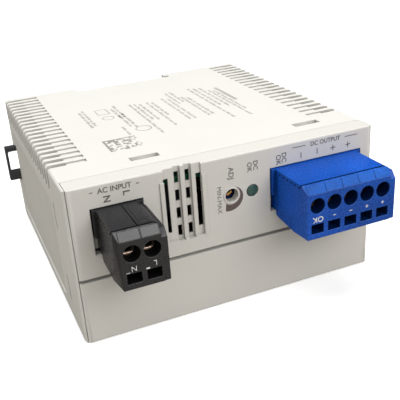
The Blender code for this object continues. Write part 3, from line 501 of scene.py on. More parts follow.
CAD_LOOKS = {
    HEADER: ("input_header", "output_header"),
    LED: ("status_lamp",),
    TRIM_BODY: ("trimmer_body",),
    BOARD: ("main_circuit_board",),
    FERRITE: ("choke_core", "transformer_core", "output_choke_core"),
    BOBBIN: ("transformer_bobbin",),
    TAPE: ("transformer_winding",),
    SLEEVE: ("bulk_capacitor", "output_capacitor_1", "output_capacitor_2"),
    EPOXY: ("bridge_rectifier", "switching_transistor", "output_rectifier", "optocoupler", "control_chip"),
    EPOXY_BLUE: ("surge_varistor", "y_capacitor"),
    EPOXY_GREEN: ("inrush_limiter",),
    FILM: ("x_capacitor",),
    FUSE: ("input_fuse",),
    WINDING: ("choke_winding_1", "choke_winding_2", "output_choke_winding"),
    ALUMINIUM: ("primary_heatsink", "secondary_heatsink"),
    SCREW: ("primary_screw", "secondary_screw"),
}
POLE_LOOKS = {"contact": COPPER_DIM, "clamp_spring": STEEL, "header_pin": TIN}


def dress_cad_nodes():
    """Give every CAD node that stays its finish."""
    looks = [(node, material) for material, nodes in CAD_LOOKS.items() for node in nodes]
    for prefix, (_, poles) in PLUGS.items():
        for kind, material in POLE_LOOKS.items():
            looks += [(f"{prefix}_{kind}_{i + 1}", material) for i in range(poles)]
    for node, material in looks:
        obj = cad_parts[node]
        obj.data.materials.clear()
        obj.data.materials.append(material)


# ---- housing ----


def envelope(name):
    """The outer form that the shell and the cover share."""
    plan = rounded((0, HEIGHT_X), (0, DEPTH_Y), (CORNER_R, CORNER_R, 1.0, 1.0))
    end_view = rounded((0, HEIGHT_X), (0, WIDTH_Z), (EDGE_R,) * 4)
    side_view = rounded((0, DEPTH_Y + 2), (0, WIDTH_Z), (FRONT_EDGE_R, 1, 1, FRONT_EDGE_R), 5)
    body = prism(name, plan, "z", 0, WIDTH_Z)
    tools = [prism("end_view", end_view, "y", -1, DEPTH_Y + 1)]
    tools.append(prism("side_view", side_view, "x", -1, HEIGHT_X + 1))
    return common(body, *tools)


def vent_outline(top):
    """One slot seen along Y: deep at the edge, then a shallow groove toward the middle."""
    if top:
        drop = WIDTH_Z - VENT_NOTCH_Z
        outline = [(-1, -1), (-1, drop), (0, drop), (VENT_NOTCH_DEPTH, drop - VENT_FLOOR_RISE)]
        outline.append((VENT_NOTCH_DEPTH, VENT_DEPTH))
    else:
        outline = [(WALL + 0.8, -1), (WALL + 0.8, VENT_DEPTH)]
    outline += [(VENT_CUT, VENT_DEPTH), (VENT_CUT, VENT_GROOVE_DEPTH)]
    return outline + [(VENT_GROOVE, VENT_GROOVE_DEPTH), (VENT_GROOVE, -1)]


def vent_ys():
    """The slots' centres along Y."""
    pitch = (VENT_LAST_Y - VENT_FIRST_Y) / (VENT_COUNT - 1)
    return [VENT_FIRST_Y + i * pitch for i in range(VENT_COUNT)]


def vent_tools():
    """Slots along the four long edges; those of the printed side run on down the end walls."""
    tools = []
    for top in (True, False):
        for at_low_end in (True, False):
            outline = vent_outline(top)
            if not at_low_end:
                outline = [(HEIGHT_X - x, z) for x, z in outline]
            if top:
                outline = [(x, WIDTH_Z - z) for x, z in outline]
            for y in vent_ys():
                tools.append(prism("vent", outline, "y", y - VENT_WIDTH / 2, y + VENT_WIDTH / 2))
    return gather("vents", tools)


def vent_chamfers(flare=0.06, proud=0.4):
    """Swept wedges that ease the slots' rims on the printed side, from the end wall over the edge."""
    centre = (EDGE_R, WIDTH_Z - EDGE_R)
    path = [((0.0, VENT_NOTCH_Z + 0.3), (-1.0, 0.0))]
    for i in range(9):
        angle = math.radians(180 - 90 * i / 8)
        normal = (math.cos(angle), math.sin(angle))
        path.append(((centre[0] + EDGE_R * normal[0], centre[1] + EDGE_R * normal[1]), normal))
    path.append(((VENT_GROOVE, WIDTH_Z), (0.0, 1.0)))
    tools = []
    for mirrored in (False, True):
        for y in vent_ys():
            bm = bmesh.new()
            rings = []
            for (x, z), (nx, nz) in path:
                ring = []
                for side, lift in ((1, proud), (-1, proud), (-1, -flare), (1, -flare)):
                    half_width = VENT_WIDTH / 2 + (flare + proud if lift > 0 else 0)
                    px = x + nx * lift
                    if mirrored:
                        px = HEIGHT_X - px
                    ring.append(bm.verts.new((px, y + side * half_width, z + nz * lift)))
                rings.append(ring)
            skin(bm, rings)
            bm.faces.new(rings[0])
            bm.faces.new(rings[-1])
            tools.append(new_object("rim", bm))
    return gather("vent_rims", tools)


def end_wall_tools():
    """A sunk panel with sloping rims and two shallow slots on each end wall."""
    tools = []
    for mirrored in (False, True):

        def along(depth):
            return HEIGHT_X - depth if mirrored else depth

        sections = []
        for depth, grow in ((-0.5, 0.9), (0.0, 0.35), (PANEL_DEPTH, 0.0)):
            y = (PANEL_Y[0] - grow, PANEL_Y[1] + grow)
            z = (PANEL_Z[0] - grow, PANEL_Z[1] + grow)
            sections.append((along(depth), rounded(y, z, (PANEL_R + grow,) * 4)))
        tools.append(loft("panel", sections, "x"))
        for y, low, high in END_SLOTS:
            sections = []
            for depth, grow in ((-0.5, 0.4), (0.15, 0.0), (0.6, 0.0)):
                width, length = (y - 0.6 - grow, y + 0.6 + grow), (low - grow, high + grow)
                outline = rounded(width, length, (0.59 + grow,) * 4, 4)
                sections.append((along(depth), outline))
            tools.append(loft("end_slot", sections, "x"))
    return gather("end_walls", tools)


def seat_outline():
    """The rail seat seen along Z: a sloped side at the latch, an undercut hook at the output end."""
    relief = (HOOK_X - 0.3, SEAT_Y - 0.3)
    outline = [(BRIM_LOW - 1.7, DEPTH_Y + 1), (BRIM_LOW - 1.7, DEPTH_Y), (BRIM_LOW, BRIM_LIP_Y)]
    outline += [(BRIM_LOW, SEAT_Y), (relief[0], SEAT_Y), relief, (BRIM_HIGH + GAP, relief[1])]
    outline += [(BRIM_HIGH + GAP, BRIM_LIP_Y), (HOOK_X, BRIM_LIP_Y), (HOOK_X, DEPTH_Y)]
    return outline + [(HOOK_X + 0.6, DEPTH_Y + 1)]


def shell_back(shell):
    """Hollow the back, then cut the rail seat and the latch channel."""
    low_channel, high_channel = LATCH_Z[0] - GAP - WALL, LATCH_Z[1] + GAP + WALL
    foot_y = (CAVITY_BACK - 1, DEPTH_Y - WALL)
    inner_z = (WALL, WIDTH_Z - WALL)
    pockets = [
        box("pocket_middle", (30, 58), (CAVITY_BACK - 1, SEAT_Y - WALL), inner_z),
        box("pocket_output", (64, HEIGHT_X - WALL), foot_y, inner_z),
        box("pocket_low", (WALL, 22), foot_y, (WALL, low_channel)),
        box("pocket_high", (WALL, 22), foot_y, (high_channel, WIDTH_Z - WALL)),
    ]
    cut(shell, gather("pockets", pockets))
    cut(shell, prism("seat", seat_outline(), "z", -1, WIDTH_Z + 1))
    channel_z = (LATCH_Z[0] - GAP, LATCH_Z[1] + GAP)
    channel_y = (LATCH_Y[0] - GAP, LATCH_Y[1] + GAP)
    slot_z = (LATCH_Z[0] + 1.8, LATCH_Z[1] - 1.8)
    cut(shell, box("channel", (-1, BRIM_LOW + 4), channel_y, channel_z))
    cut(shell, box("channel_slot", (-1, BRIM_LOW + 1), (channel_y[1] - 1, DEPTH_Y + 1), slot_z))
    post_x = (SPRING_X[0] - GAP - 2.0, SPRING_X[0] - GAP)
    fuse(shell, box("spring_post", post_x, (channel_y[0] - 1, LATCH_Y[1] - GAP), (20.4, 24.6)))


def build_shell():
    """The tub: walls, slotted edges, end panels, snap windows, rail seat and latch channel."""
    shell = envelope("shell_moulding")
    inner_x, inner_z = (WALL, HEIGHT_X - WALL), (WALL, WIDTH_Z - WALL)
    cut(shell, box("cavity", inner_x, (-1, CAVITY_BACK), inner_z))
    seam_x = (SEAM_X - SEAM, HEIGHT_X - SEAM_X + SEAM)
    cut(shell, box("cover_face", seam_x, (-1, COVER_THICK + SEAM), (-1, WIDTH_Z + 1)))
    flange_y = (-1, FLANGE_DEPTH + SEAM)
    cut(shell, box("cover_top", seam_x, flange_y, (WIDTH_Z - WALL - SEAM, WIDTH_Z + 1)))
    cut(shell, box("cover_base", seam_x, flange_y, (-1, WALL + SEAM)))
    shell_back(shell)
    windows = []
    for x in WINDOW_XS:
        for low, high in ((-1, WALL + 1), (WIDTH_Z - WALL - 1, WIDTH_Z + 1)):
            windows.append(box("window", x, WINDOW_Y, (low, high)))
    cut(shell, gather("windows", windows))
    cut(shell, end_wall_tools())
    cut(shell, vent_tools())
    cut(shell, vent_chamfers())
    finish(shell, SHELL)
    # The end panels take the darker panel material, whose darker tone is painted shade
    shell.data.materials.append(PANEL)
    for face in shell.data.polygons:
        for wall in (PANEL_DEPTH, HEIGHT_X - PANEL_DEPTH):
            if abs(face.normal.x) > 0.99 and abs(face.center.x - place(wall, 0, 0).x) < 0.00005:
                face.material_index = 1
    return settle(shell, "chassis", "grey_shell", "housing_shell")


def opening_x(start, poles):
    """The span of a plug's opening in the cover."""
    return (start, start + poles * PITCH + OPENING_EXTRA)


def pole_xs(start, poles):
    """The wire holes' centres."""
    return [start + FIRST_POLE + i * PITCH for i in range(poles)]


def back_flared(name, x, z, front):
    """A slot cutter that widens a little way behind the face it pierces."""
    wide = rect(x, z, 0.6)
    step = front + 0.55
    return loft(name, [(-1, rect(x, z)), (step, rect(x, z)), (step + 0.1, wide), (COVER_THICK + 1, wide)])


def vent_block(cover):
    """A recess open at the top edge, two deeper bands of short slots, two long slots and two rails."""
    low, high = VENT_BLOCK_X[0] + VENT_RAIL, VENT_BLOCK_X[1] - VENT_RAIL
    cut(cover, box("recess", (low, high), (-1, VENT_RECESS), (VENT_BLOCK_Z[0], WIDTH_Z + 1)))
    bands, slots = [], []
    for x, z in ((SLOT_LOW_X, (26.3, 41.8)), (SLOT_HIGH_X, (26.4, 41.6))):
        slots.append(back_flared("slot", x, z, VENT_RECESS))
    for x in VENT_BANDS:
        band_x = (x - VENT_BAND_HALF, x + VENT_BAND_HALF)
        bands.append(box("band", band_x, (-1, VENT_BAND_DEPTH), (VENT_BLOCK_Z[0] - 0.4, WIDTH_Z + 1)))
        for i in range(4):
            base = 24.5 + i * 5.1
            slots.append(back_flared("slot", (x - 0.55, x + 0.65), (base, base + 3.15), VENT_BAND_DEPTH))
    cut(cover, gather("bands", bands), gather("slots", slots))
    for x in (VENT_BLOCK_X[0], VENT_BLOCK_X[1] - VENT_RAIL):
        rail = box("rail", (x, x + VENT_RAIL), (-RAIL_PROUD, 1.0), VENT_BLOCK_Z)
        fuse(cover, soften(rail, 0.12))


def build_cover():
    """The terminal face with its openings, groove, vent block and adjuster ring."""
    cover = envelope("cover_moulding")
    span_x = (SEAM_X, HEIGHT_X - SEAM_X)
    common(cover, box("cover_zone", span_x, (-1, FLANGE_DEPTH), (-1, WIDTH_Z + 1)))
    cut(cover, box("cover_hollow", (-1, HEIGHT_X + 1), (COVER_THICK, DEPTH_Y), (WALL, WIDTH_Z - WALL)))
    for start, poles in PLUGS.values():
        x = opening_x(start, poles)
        cut(cover, mouth("opening", lambda grow: rect(x, OPENING_Z, grow), 0.0, COVER_THICK + 1, 0.12))
    x, z = TRIMMER_XZ
    inner, outer = RING_R
    ring = [(-RING_PROUD, circle((x, z), inner)), (-0.12, circle((x, z), outer)), (1, circle((x, z), outer))]
    fuse(cover, loft("ring", ring))

    def trimmer_hole(grow):
        return circle((x, z), TRIMMER_HOLE_R + grow)

    def light_hole(grow):
        return circle(LED_XZ, LIGHT_HOLE_R + grow)

    cut(cover, mouth("trimmer_hole", trimmer_hole, -RING_PROUD, COVER_THICK + 1, 0.1))
    cut(cover, mouth("light_hole", light_hole, 0.0, COVER_THICK + 1, 0.1))
    low, high = GROOVE_Z
    groove = [(-1, low - 0.3), (0, low - 0.06), (GROOVE_DEPTH, low + 0.04)]
    groove += [(GROOVE_DEPTH, high), (0, high + 0.02), (-1, high + 0.1)]
    cut(cover, prism("groove", groove, "x", -1, HEIGHT_X + 1))
    vent_block(cover)
    for x in WINDOW_XS:
        for top in (True, False):
            fuse(cover, snap_arm(x, top))
    finish(cover, COVER)
    return settle(cover, "chassis", "grey_cover", "front_cover")


def snap_arm(x, top):
    """A tongue that runs under the housing wall, with a nub that springs into its window."""
    root, step = FLANGE_DEPTH - 2, FLANGE_DEPTH - 0.2
    outline = [(root, 0), (root, 1.6), (step, 1.6), (step, 0.9)]
    outline += [(WINDOW_Y[0] + GAP, 0.9), (WINDOW_Y[0] + GAP, NUB_RISE), (WINDOW_Y[1] - GAP, 1.0)]
    outline += [(WINDOW_Y[1] - 0.1, 0.8), (WINDOW_Y[1] - 0.1, 0)]
    base = WIDTH_Z - WALL - GAP - 0.9
    if top:
        outline = [(y, base + z) for y, z in outline]
    else:
        outline = [(y, WIDTH_Z - base - z) for y, z in outline]
    return prism("snap_arm", outline, "x", x[0] + GAP + 0.2, x[1] - GAP - 0.2)


# ---- latch ----


def build_latch():
    """The rail slider with its pull loop and its lip behind the rail's brim."""
    latch = box("latch_moulding", (LATCH_OUT, BRIM_LOW - GAP), LATCH_Y, LATCH_Z)
    soften(latch, 0.3, 3)
    lip_z = (LATCH_Z[0] + 2.1, LATCH_Z[1] - 2.1)
    lip = [(BRIM_LOW - 4.5, LATCH_Y[1] - 1), (BRIM_LOW - GAP, LATCH_Y[1] - 1), (BRIM_LOW - GAP, BRIM_LIP_Y)]
    lip += [(BRIM_LOW + 1.3, BRIM_LIP_Y), (BRIM_LOW - 0.6, DEPTH_Y - 0.2), (BRIM_LOW - 4.5, DEPTH_Y - 0.2)]
    fuse(latch, soften(prism("lip", lip, "z", *lip_z), 0.15))
    cut(latch, box("spring_window", (SPRING_X[0] - 2.6, SPRING_X[1] + GAP), (80, 92), (20.0, 25.0)))
    pull = rounded(PULL_WINDOW_X, PULL_WINDOW_Z, (0.5,) * 4, 4)
    cut(latch, prism("pull_window", pull, "y", 80, 92))
    finish(latch, LATCH)
    return settle(latch, "rail_latch", "latch_grey", "din_latch")


def build_spring(turns=7, steps=28, sides=10, radius=1.0, wire=0.2):
    """The latch's return spring, a coil with closed end turns; the real one shortens as the latch is pulled,
    but this one rides the chassis unchanged.
    """
    centre = Vector((0, sum(LATCH_Y) / 2, sum(LATCH_Z) / 2))
    total = turns * steps
    length = SPRING_X[1] - SPRING_X[0] - 2 * wire - 0.3
    rings = []
    bm = bmesh.new()
    for i in range(total + 1):
        share = i / total
        eased = min(max((share - 0.1) / 0.8, 0.0), 1.0)
        angle = 2 * math.pi * i / steps
        outward = Vector((0, math.cos(angle), math.sin(angle)))
        along = SPRING_X[0] + wire + 0.15 * share + length * eased
        middle = centre + radius * outward + Vector((along, 0, 0))
        ring = []
        for k in range(sides):
            turn = 2 * math.pi * k / sides
            offset = math.cos(turn) * outward + Vector((math.sin(turn), 0, 0))
            ring.append(bm.verts.new(middle + wire * offset))
        rings.append(ring)
    skin(bm, rings)
    bm.faces.new(rings[0])
    bm.faces.new(rings[-1])
    spring = finish(new_object("spring_coil", bm), STEEL, 60)
    settle(spring, "chassis", "spring_steel", "latch_spring")
    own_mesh(spring)
    return spring


# ---- plugs ----


def slice_off(obj, a, b, c):
    """Cut away everything beyond the plane through three points, on its low-X side."""
    a, b, c = Vector(a), Vector(b), Vector(c)
    normal = (b - a).cross(c - a).normalized()
    if normal.x > 0:
        normal = -normal
    along = (b - a).normalized()
    across = normal.cross(along)
    bm = bmesh.new()
    rings = []
    for lift in (0, 8):
        ring = []
        for u, v in ((-30, -30), (30, -30), (30, 30), (-30, 30)):
            ring.append(bm.verts.new(a + along * u + across * v + normal * lift))
        bm.faces.new(ring)
        rings.append(ring)
    skin(bm, rings)
    return cut(obj, new_object("slab", bm))


def plug_block(xs):
    """The plug's main block with its ear, before any hole is cut."""
    low, high = xs[0] - BODY_LEFT, xs[-1] + BODY_RIGHT
    profile = [(-GAP, HEEL_BOTTOM), (PLUG_FRONT, FACE_BOTTOM), (PLUG_FRONT, FACE_TOP), (RIDGE_Y, PLUG_TOP)]
    body = prism("block", profile + [(-GAP, PLUG_TOP)], "x", low, high)
    corner = [(low - 1, PLUG_FRONT - 1), (low + 1.55, PLUG_FRONT - 1), (low + 0.95, PLUG_FRONT)]
    corner += [(low, PLUG_FRONT + 1.65), (low - 1, PLUG_FRONT + 1.65)]
    cut(body, prism("corner", corner, "z", FACE_BOTTOM - 1, PLUG_TOP + 1))
    foot, head = (low + 0.95, PLUG_FRONT, FACE_BOTTOM), (low, PLUG_FRONT + 1.65, FACE_TOP)
    slice_off(body, foot, head, (low, PLUG_FRONT + 5.5, FACE_BOTTOM + 0.4))
    shoulder = [(high - 1.15, PLUG_TOP + 1), (high - 1.15, PLUG_TOP), (high, PLUG_TOP - 0.55)]
    shoulder += [(high + 1, PLUG_TOP - 0.55), (high + 1, PLUG_TOP + 1)]
    cut(body, prism("shoulder", shoulder, "y", PLUG_FRONT - 1, 1))
    soften(body, 0.16)
    ear = [(-GAP, HEEL_BOTTOM), (PLUG_FRONT, FACE_BOTTOM + 0.1), (PLUG_FRONT, FACE_TOP - 0.9)]
    ear += [(RIDGE_Y, PLUG_TOP - 1.5), (-GAP, PLUG_TOP - 1.5)]
    ear = soften(prism("ear", ear, "x", high - 0.6, xs[-1] + EAR_RIGHT), 0.2)
    return fuse(body, ear)


def bevel_plate(low, high):
    """A raised plate on the sloping face between the ridge and the terminal face."""
    along = Vector((RIDGE_Y - PLUG_FRONT, PLUG_TOP - FACE_TOP)).normalized()
    out = Vector((-along.y, along.x))
    base = Vector((PLUG_FRONT, FACE_TOP))
    outline = []
    for reach, lift in ((0.12, -0.2), (0.16, PLATE_RISE), (2.76, PLATE_RISE), (2.8, -0.2)):
        outline.append(tuple(base + along * reach + out * lift))
    return soften(prism("plate", outline, "x", low, high), 0.09)


def plug_details(body, xs):
    """Pole seams, the ridge groove, side pits and the underside step."""
    low = xs[0] - BODY_LEFT
    joins = [x - PITCH / 2 + 0.05 for x in xs[1:]]
    if len(joins) == 1:
        seam_x = (joins[0] - 0.17, joins[0] + 0.17)
        cut(body, box("seam", seam_x, (RIDGE_Y, 0.5), (PLUG_TOP - 0.35, PLUG_TOP + 1)))
        pad = box("pad", (joins[0] + 0.9, xs[-1] + 1.0), (-12.6, -2.6), (PLUG_TOP - 0.2, PLUG_TOP + 0.22))
        fuse(body, soften(pad, 0.15))
    ridge = [(RIDGE_Y + 0.05, PLUG_TOP - RIDGE_GAP[1]), (RIDGE_Y + RIDGE_GAP[0], PLUG_TOP - RIDGE_GAP[1])]
    ridge += [(RIDGE_Y + RIDGE_GAP[0], PLUG_TOP + 1), (RIDGE_Y + 0.05, PLUG_TOP + 1)]
    cut(body, prism("ridge", ridge, "x", low - 1, xs[-1] + RIDGE_RIGHT))
    edges = [low + 1.0] + joins + [xs[-1] + RIDGE_RIGHT]
    fuse(body, gather("plates", [bevel_plate(a + 0.12, b - 0.12) for a, b in zip(edges, edges[1:])]))
    bead = circle((PLUG_FRONT + 0.12, FACE_TOP + 0.02), 0.2, 12)
    fuse(body, prism("bead", bead, "x", edges[0], edges[-1]))
    pits = []
    for i in range(7):
        y = RIDGE_Y + 1.4 + i * 1.95
        pits.append(box("pit", (low - 1, low + 0.5), (y - 0.3, y + 0.3), (PLUG_TOP - 1.35, PLUG_TOP - 0.75)))
    cut(body, gather("pits", pits))
    cut(body, box("side_line", (low - 1, low + 0.14), (-8.75, -8.5), (FACE_BOTTOM, 27.4)))
    cut(body, box("side_step", (low - 1, low + 0.2), (-1.7, 0), (HEEL_BOTTOM - 1, 36.6)))


def paint_plug_shade_and_sheen(body, xs):
    """Paint shade inside the holes and the ridge groove with a darker material, and a lighter painted sheen
    on the slope's plates.
    """
    low, high = xs[0] - BODY_LEFT, xs[-1] + BODY_RIGHT
    slope_normal = Vector((0, FACE_TOP - PLUG_TOP, RIDGE_Y - PLUG_FRONT)).normalized()
    for face in body.data.polygons:
        centre = (face.center - ORIGIN) * 1000
        if PLUG_FRONT + 0.4 < centre.y < 0 and SLOT_Z[0] - 0.2 < centre.z < HOLE_Z + HOLE_R + 0.2:
            if low + 1.3 < centre.x < high - 0.3:
                face.material_index = 1
        elif face.normal.dot(slope_normal) > 0.995 and centre.y < RIDGE_Y + 0.1:
            face.material_index = 2
        elif RIDGE_Y < centre.y < RIDGE_Y + RIDGE_GAP[0] + 0.02 and FACE_TOP < centre.z < PLUG_TOP - 0.1:
            if low + 0.1 < centre.x < xs[-1] + RIDGE_RIGHT - 0.01:
                face.material_index = 1


def build_plug(prefix, looks, slot):
    """One pull-off plug: block, ear, collar, insert, wire holes, tool slots and chambers."""
    look, hole_shade_look, plate_sheen_look, lip_look = looks
    start, poles = PLUGS[prefix]
    xs = pole_xs(start, poles)
    low, high = xs[0] - BODY_LEFT, xs[-1] + BODY_RIGHT
    body = plug_block(xs)
    body.name = f"{prefix}_plug_moulding"
    body.data.name = body.name
    plug_details(body, xs)
    edge_x = opening_x(start, poles)
    collar = box("collar", (edge_x[0] + GAP, edge_x[1] - GAP), (-0.6, COVER_THICK), (30.5, PLUG_TOP))
    fuse(body, soften(collar, 0.1))
    fuse(body, box("neck", (low, high), (-0.6, COVER_THICK), (OPENING_Z[0] + GAP, PLUG_TOP - 1)))
    fuse(body, box("insert", (start + 2.0, edge_x[1] - 2.0), (COVER_THICK - 0.5, INSERT_BACK), (27.5, 37.3)))
    holes, slots, chambers, ways = [], [], [], []
    for x in xs:
        def hole(grow, x=x):
            return circle((x, HOLE_Z), HOLE_R + grow, 40)

        def slot_outline(grow, x=x):
            return rect((x - SLOT_HALF, x + SLOT_HALF), SLOT_Z, grow)

        holes.append(mouth("wire_hole", hole, PLUG_FRONT, CHAMBER_Y[0] + 1, 0.14))
        slots.append(mouth("tool_slot", slot_outline, PLUG_FRONT, CHAMBER_Y[0] + 1, 0.1))
        chambers.append(box("chamber", (x - CHAMBER_HALF, x + CHAMBER_HALF), CHAMBER_Y, CHAMBER_Z))
        ways.append(box("contact_way", (x - 1.6, x + 1.6), (CHAMBER_Y[1] - 1, INSERT_BACK + 1), (31.9, 34.4)))
    for name, tools in (("holes", holes), ("slots", slots), ("chambers", chambers), ("ways", ways)):
        cut(body, gather(name, tools))
    finish(body, look)
    # Extra materials: painted shade for the holes and the ridge groove, painted sheen for the sloping plates
    body.data.materials.append(hole_shade_look)
    body.data.materials.append(plate_sheen_look)
    paint_plug_shade_and_sheen(body, xs)
    settle(body, f"{prefix}_plug", slot, f"{prefix}_plug_body")
    lips = []
    for x in xs:
        outline = rounded(LIP_Y, LIP_Z, (0.38,) * 4, 5)
        lips.append(prism("lip", outline, "x", x - LIP_HALF, x + LIP_HALF))
    group = finish(gather(f"{prefix}_wire_lips", lips), lip_look)
    return settle(group, f"{prefix}_plug", "contact_copper")


# ---- front fittings ----


def build_light():
    """The light pipe: a domed window flush with the cover."""
    sections = []
    for y, radius in ((0.02, 0.9), (0.06, 1.35), (0.16, 1.58), (0.35, 1.65), (6.0, 1.65)):
        sections.append((y, circle(LED_XZ, radius)))
    pipe = finish(loft("light_window", sections), LENS)
    return settle(pipe, "chassis", "lens_green", "status_light_pipe")


def build_rotor():
    """The adjuster's rotor: a dark head with a cross slot, and the brass wiper let into its face."""
    x, z = TRIMMER_XZ
    face = ROTOR_Y[0]
    profile = ((face, 1.45), (face + 0.12, 1.62), (face + 0.3, 1.7), (ROTOR_Y[1], 1.7))
    rotor = loft("adjuster_screw", [(y, circle(TRIMMER_XZ, radius)) for y, radius in profile])
    cut(rotor, box("slot", (x - 1.1, x + 1.1), (0, face + 0.9), (z - 0.3, z + 0.3)))
    cut(rotor, box("cross", (x - 0.3, x + 0.3), (0, face + 0.9), (z - 1.1, z + 1.1)))
    finish(rotor, ROTOR)
    settle(rotor, "adjuster_rotor", "trimmer_brass", "trimmer_rotor")
    outline = []
    for along, across in rounded((-0.85, 0.85), (-0.25, 0.25), (0.15,) * 4, 4):
        outline.append((x + 0.4 + 0.88 * along - 0.47 * across, z - 0.42 + 0.47 * along + 0.88 * across))
    wiper = finish(soften(prism("adjuster_wiper", outline, "y", face - 0.15, face + 0.1), 0.04), WIPER)
    return settle(wiper, "adjuster_rotor", "trimmer_brass")


# ---- print ----

INK_RISE = 0.02
WEDGE_STEPS = 32


def lettering(name, words, size, turn, centre, bold=0.035):
    """Flat words in the plain default typeface, on a face that looks along -Y."""
    curve = bpy.data.curves.new(name, "FONT")
    curve.body = words
    curve.size = size / 1000
    curve.align_x = "CENTER"
    curve.align_y = "CENTER"
    curve.extrude = INK_RISE / 1000
    curve.offset = bold / 1000
    temp = bpy.data.objects.new(name + "_curve", curve)
    link(temp)
    graph = bpy.context.evaluated_depsgraph_get()
    mesh = bpy.data.meshes.new_from_object(temp.evaluated_get(graph), depsgraph=graph)
    bpy.data.objects.remove(temp)
    upright = Matrix.Rotation(math.radians(90), 4, "X")
    spin = Matrix.Rotation(math.radians(turn), 4, "Z")
    mesh.transform(Matrix.Translation(place(*centre)) @ upright @ spin)
    obj = bpy.data.objects.new(name, mesh)
    mesh.name = name
    link(obj)
    return obj


def front_bar(x, z, y=0.0):
    """A printed bar on a face that looks along -Y."""
    return box("bar", x, (y - INK_RISE, y + 0.05), z)


def print_piece(name, pieces, ink, body, slot):
    """Join flat marks into one printed piece."""
    group = gather(name, pieces)
    group.name = name
    group.data.name = name
    group.data.materials.clear()
    group.data.materials.append(ink)
    return settle(group, body, slot)


def front_print():
    """Generic marks on the terminal face."""
    marks = [
        lettering("ac", "AC INPUT", 1.95, 0, (13.0, 0, 42.7)),
        front_bar((6.6, 7.4), (42.6, 42.85)),
        front_bar((18.6, 19.4), (42.6, 42.85)),
        lettering("n", "N", 2.5, -90, (10.7, 0, 40.3), 0.07),
        lettering("l", "L", 2.5, -90, (15.8, 0, 40.9), 0.07),
        lettering("adj", "ADJ", 2.1, -90, (44.6, 0, 39.6)),
        lettering("range", "MIN-MAX", 1.85, -90, (40.9, 0, 32.6), 0.0),
        lettering("dc", "DC", 1.9, -90, (51.9, 0, 40.4)),
        lettering("ok", "OK", 1.9, -90, (50.1, 0, 40.2)),
        lettering("dc2", "DC", 2.0, -90, (60.6, 0, 40.8)),
        lettering("ok2", "OK", 2.0, -90, (58.9, 0, 40.4)),
        lettering("dcout", "DC OUTPUT", 1.7, 0, (73.8, 0, 42.9)),
        front_bar((63.3, 67.5), (42.8, 43.02)),
        front_bar((80.1, 84.3), (42.8, 43.02)),
        front_bar((65.88, 66.17), (39.5, 41.1)),
        front_bar((71.03, 71.32), (39.7, 41.3)),
    ]
    for x in (76.3, 81.2):
        marks.append(front_bar((x - 0.8, x + 0.8), (40.33, 40.62)))
        marks.append(front_bar((x - 0.14, x + 0.14), (40.62, 41.3)))
        marks.append(front_bar((x - 0.14, x + 0.14), (39.65, 40.33)))
    print_piece("front_print", marks, INK, "chassis", "grey_cover")


def wedge_print():
    """A tapering crescent round the adjuster that shows which way raises the output."""
    x, z = TRIMMER_XZ
    inner, outer = [], []
    for i in range(WEDGE_STEPS + 1):
        share = i / WEDGE_STEPS
        for points, start, turn, radius, growth in ((inner, 58, 188, 2.44, 0.3), (outer, 60, 174, 2.5, 2.3)):
            angle = math.radians(start - turn * share)
            reach = radius + growth * share
            points.append((x + reach * math.cos(angle), z + reach * math.sin(angle)))
    bm = bmesh.new()
    lines = []
    for y in (-INK_RISE, 0.05):
        for line in (inner, outer):
            lines.append([bm.verts.new((a, y, b)) for a, b in line])
    for i in range(WEDGE_STEPS):
        for first, second in ((0, 1), (2, 3), (0, 2), (1, 3)):
            a, b = lines[first], lines[second]
            bm.faces.new((a[i], a[i + 1], b[i + 1], b[i]))
    for i in (0, WEDGE_STEPS):
        bm.faces.new([lines[k][i] for k in (0, 1, 3, 2)])
    print_piece("wedge_print", [new_object("wedge", bm)], WEDGE_INK, "chassis", "grey_cover")


def plug_print():
    """White terminal marks on the plugs' faces, read with the device hung on its rail."""
    input_xs = pole_xs(*PLUGS["input"])
    output_xs = pole_xs(*PLUGS["output"])
    y = PLUG_FRONT
    marks = [lettering("n_mark", "N", 2.0, 180, (input_xs[0] + 0.1, y, 28.4), 0.0)]
    marks.append(lettering("l_mark", "L", 2.0, 180, (input_xs[1] + 0.35, y, 28.6), 0.0))
    corner_x = input_xs[1] - SLOT_HALF
    marks.append(front_bar((corner_x - 0.2, corner_x + 0.7), (27.3, 27.75), y))
    corner_x = input_xs[0] - SLOT_HALF
    marks.append(front_bar((corner_x - 0.2, corner_x + 0.9), (27.45, 27.57), y))
    print_piece("input_marks", marks, WHITE_INK, "input_plug", "plug_black")
    marks = [lettering("ok_mark", "OK", 2.2, 180, (output_xs[0] + 0.1, y, 28.5))]
    for i, x in enumerate(output_xs[1:]):
        marks.append(front_bar((x - 0.45, x + 0.45), (28.5, 28.75), y))
        if i > 1:
            marks.append(front_bar((x - 0.12, x + 0.12), (28.75, 29.1), y))
            marks.append(front_bar((x - 0.12, x + 0.12), (28.15, 28.5), y))
    print_piece("output_marks", marks, WHITE_INK, "output_plug", "plug_blue")


def top_bar(x, y):
    """A printed bar on the top."""
    return box("bar", x, y, (WIDTH_Z - 0.05, WIDTH_Z + INK_RISE))


def ring_mark(centre, outer, width):
    """A flat printed ring on the top."""
    ring = prism("ring_mark", circle(centre, outer, 32), "z", WIDTH_Z - 0.05, WIDTH_Z + INK_RISE)
    return cut(ring, prism("ring_hole", circle(centre, outer - width, 32), "z", WIDTH_Z - 1, WIDTH_Z + 1))


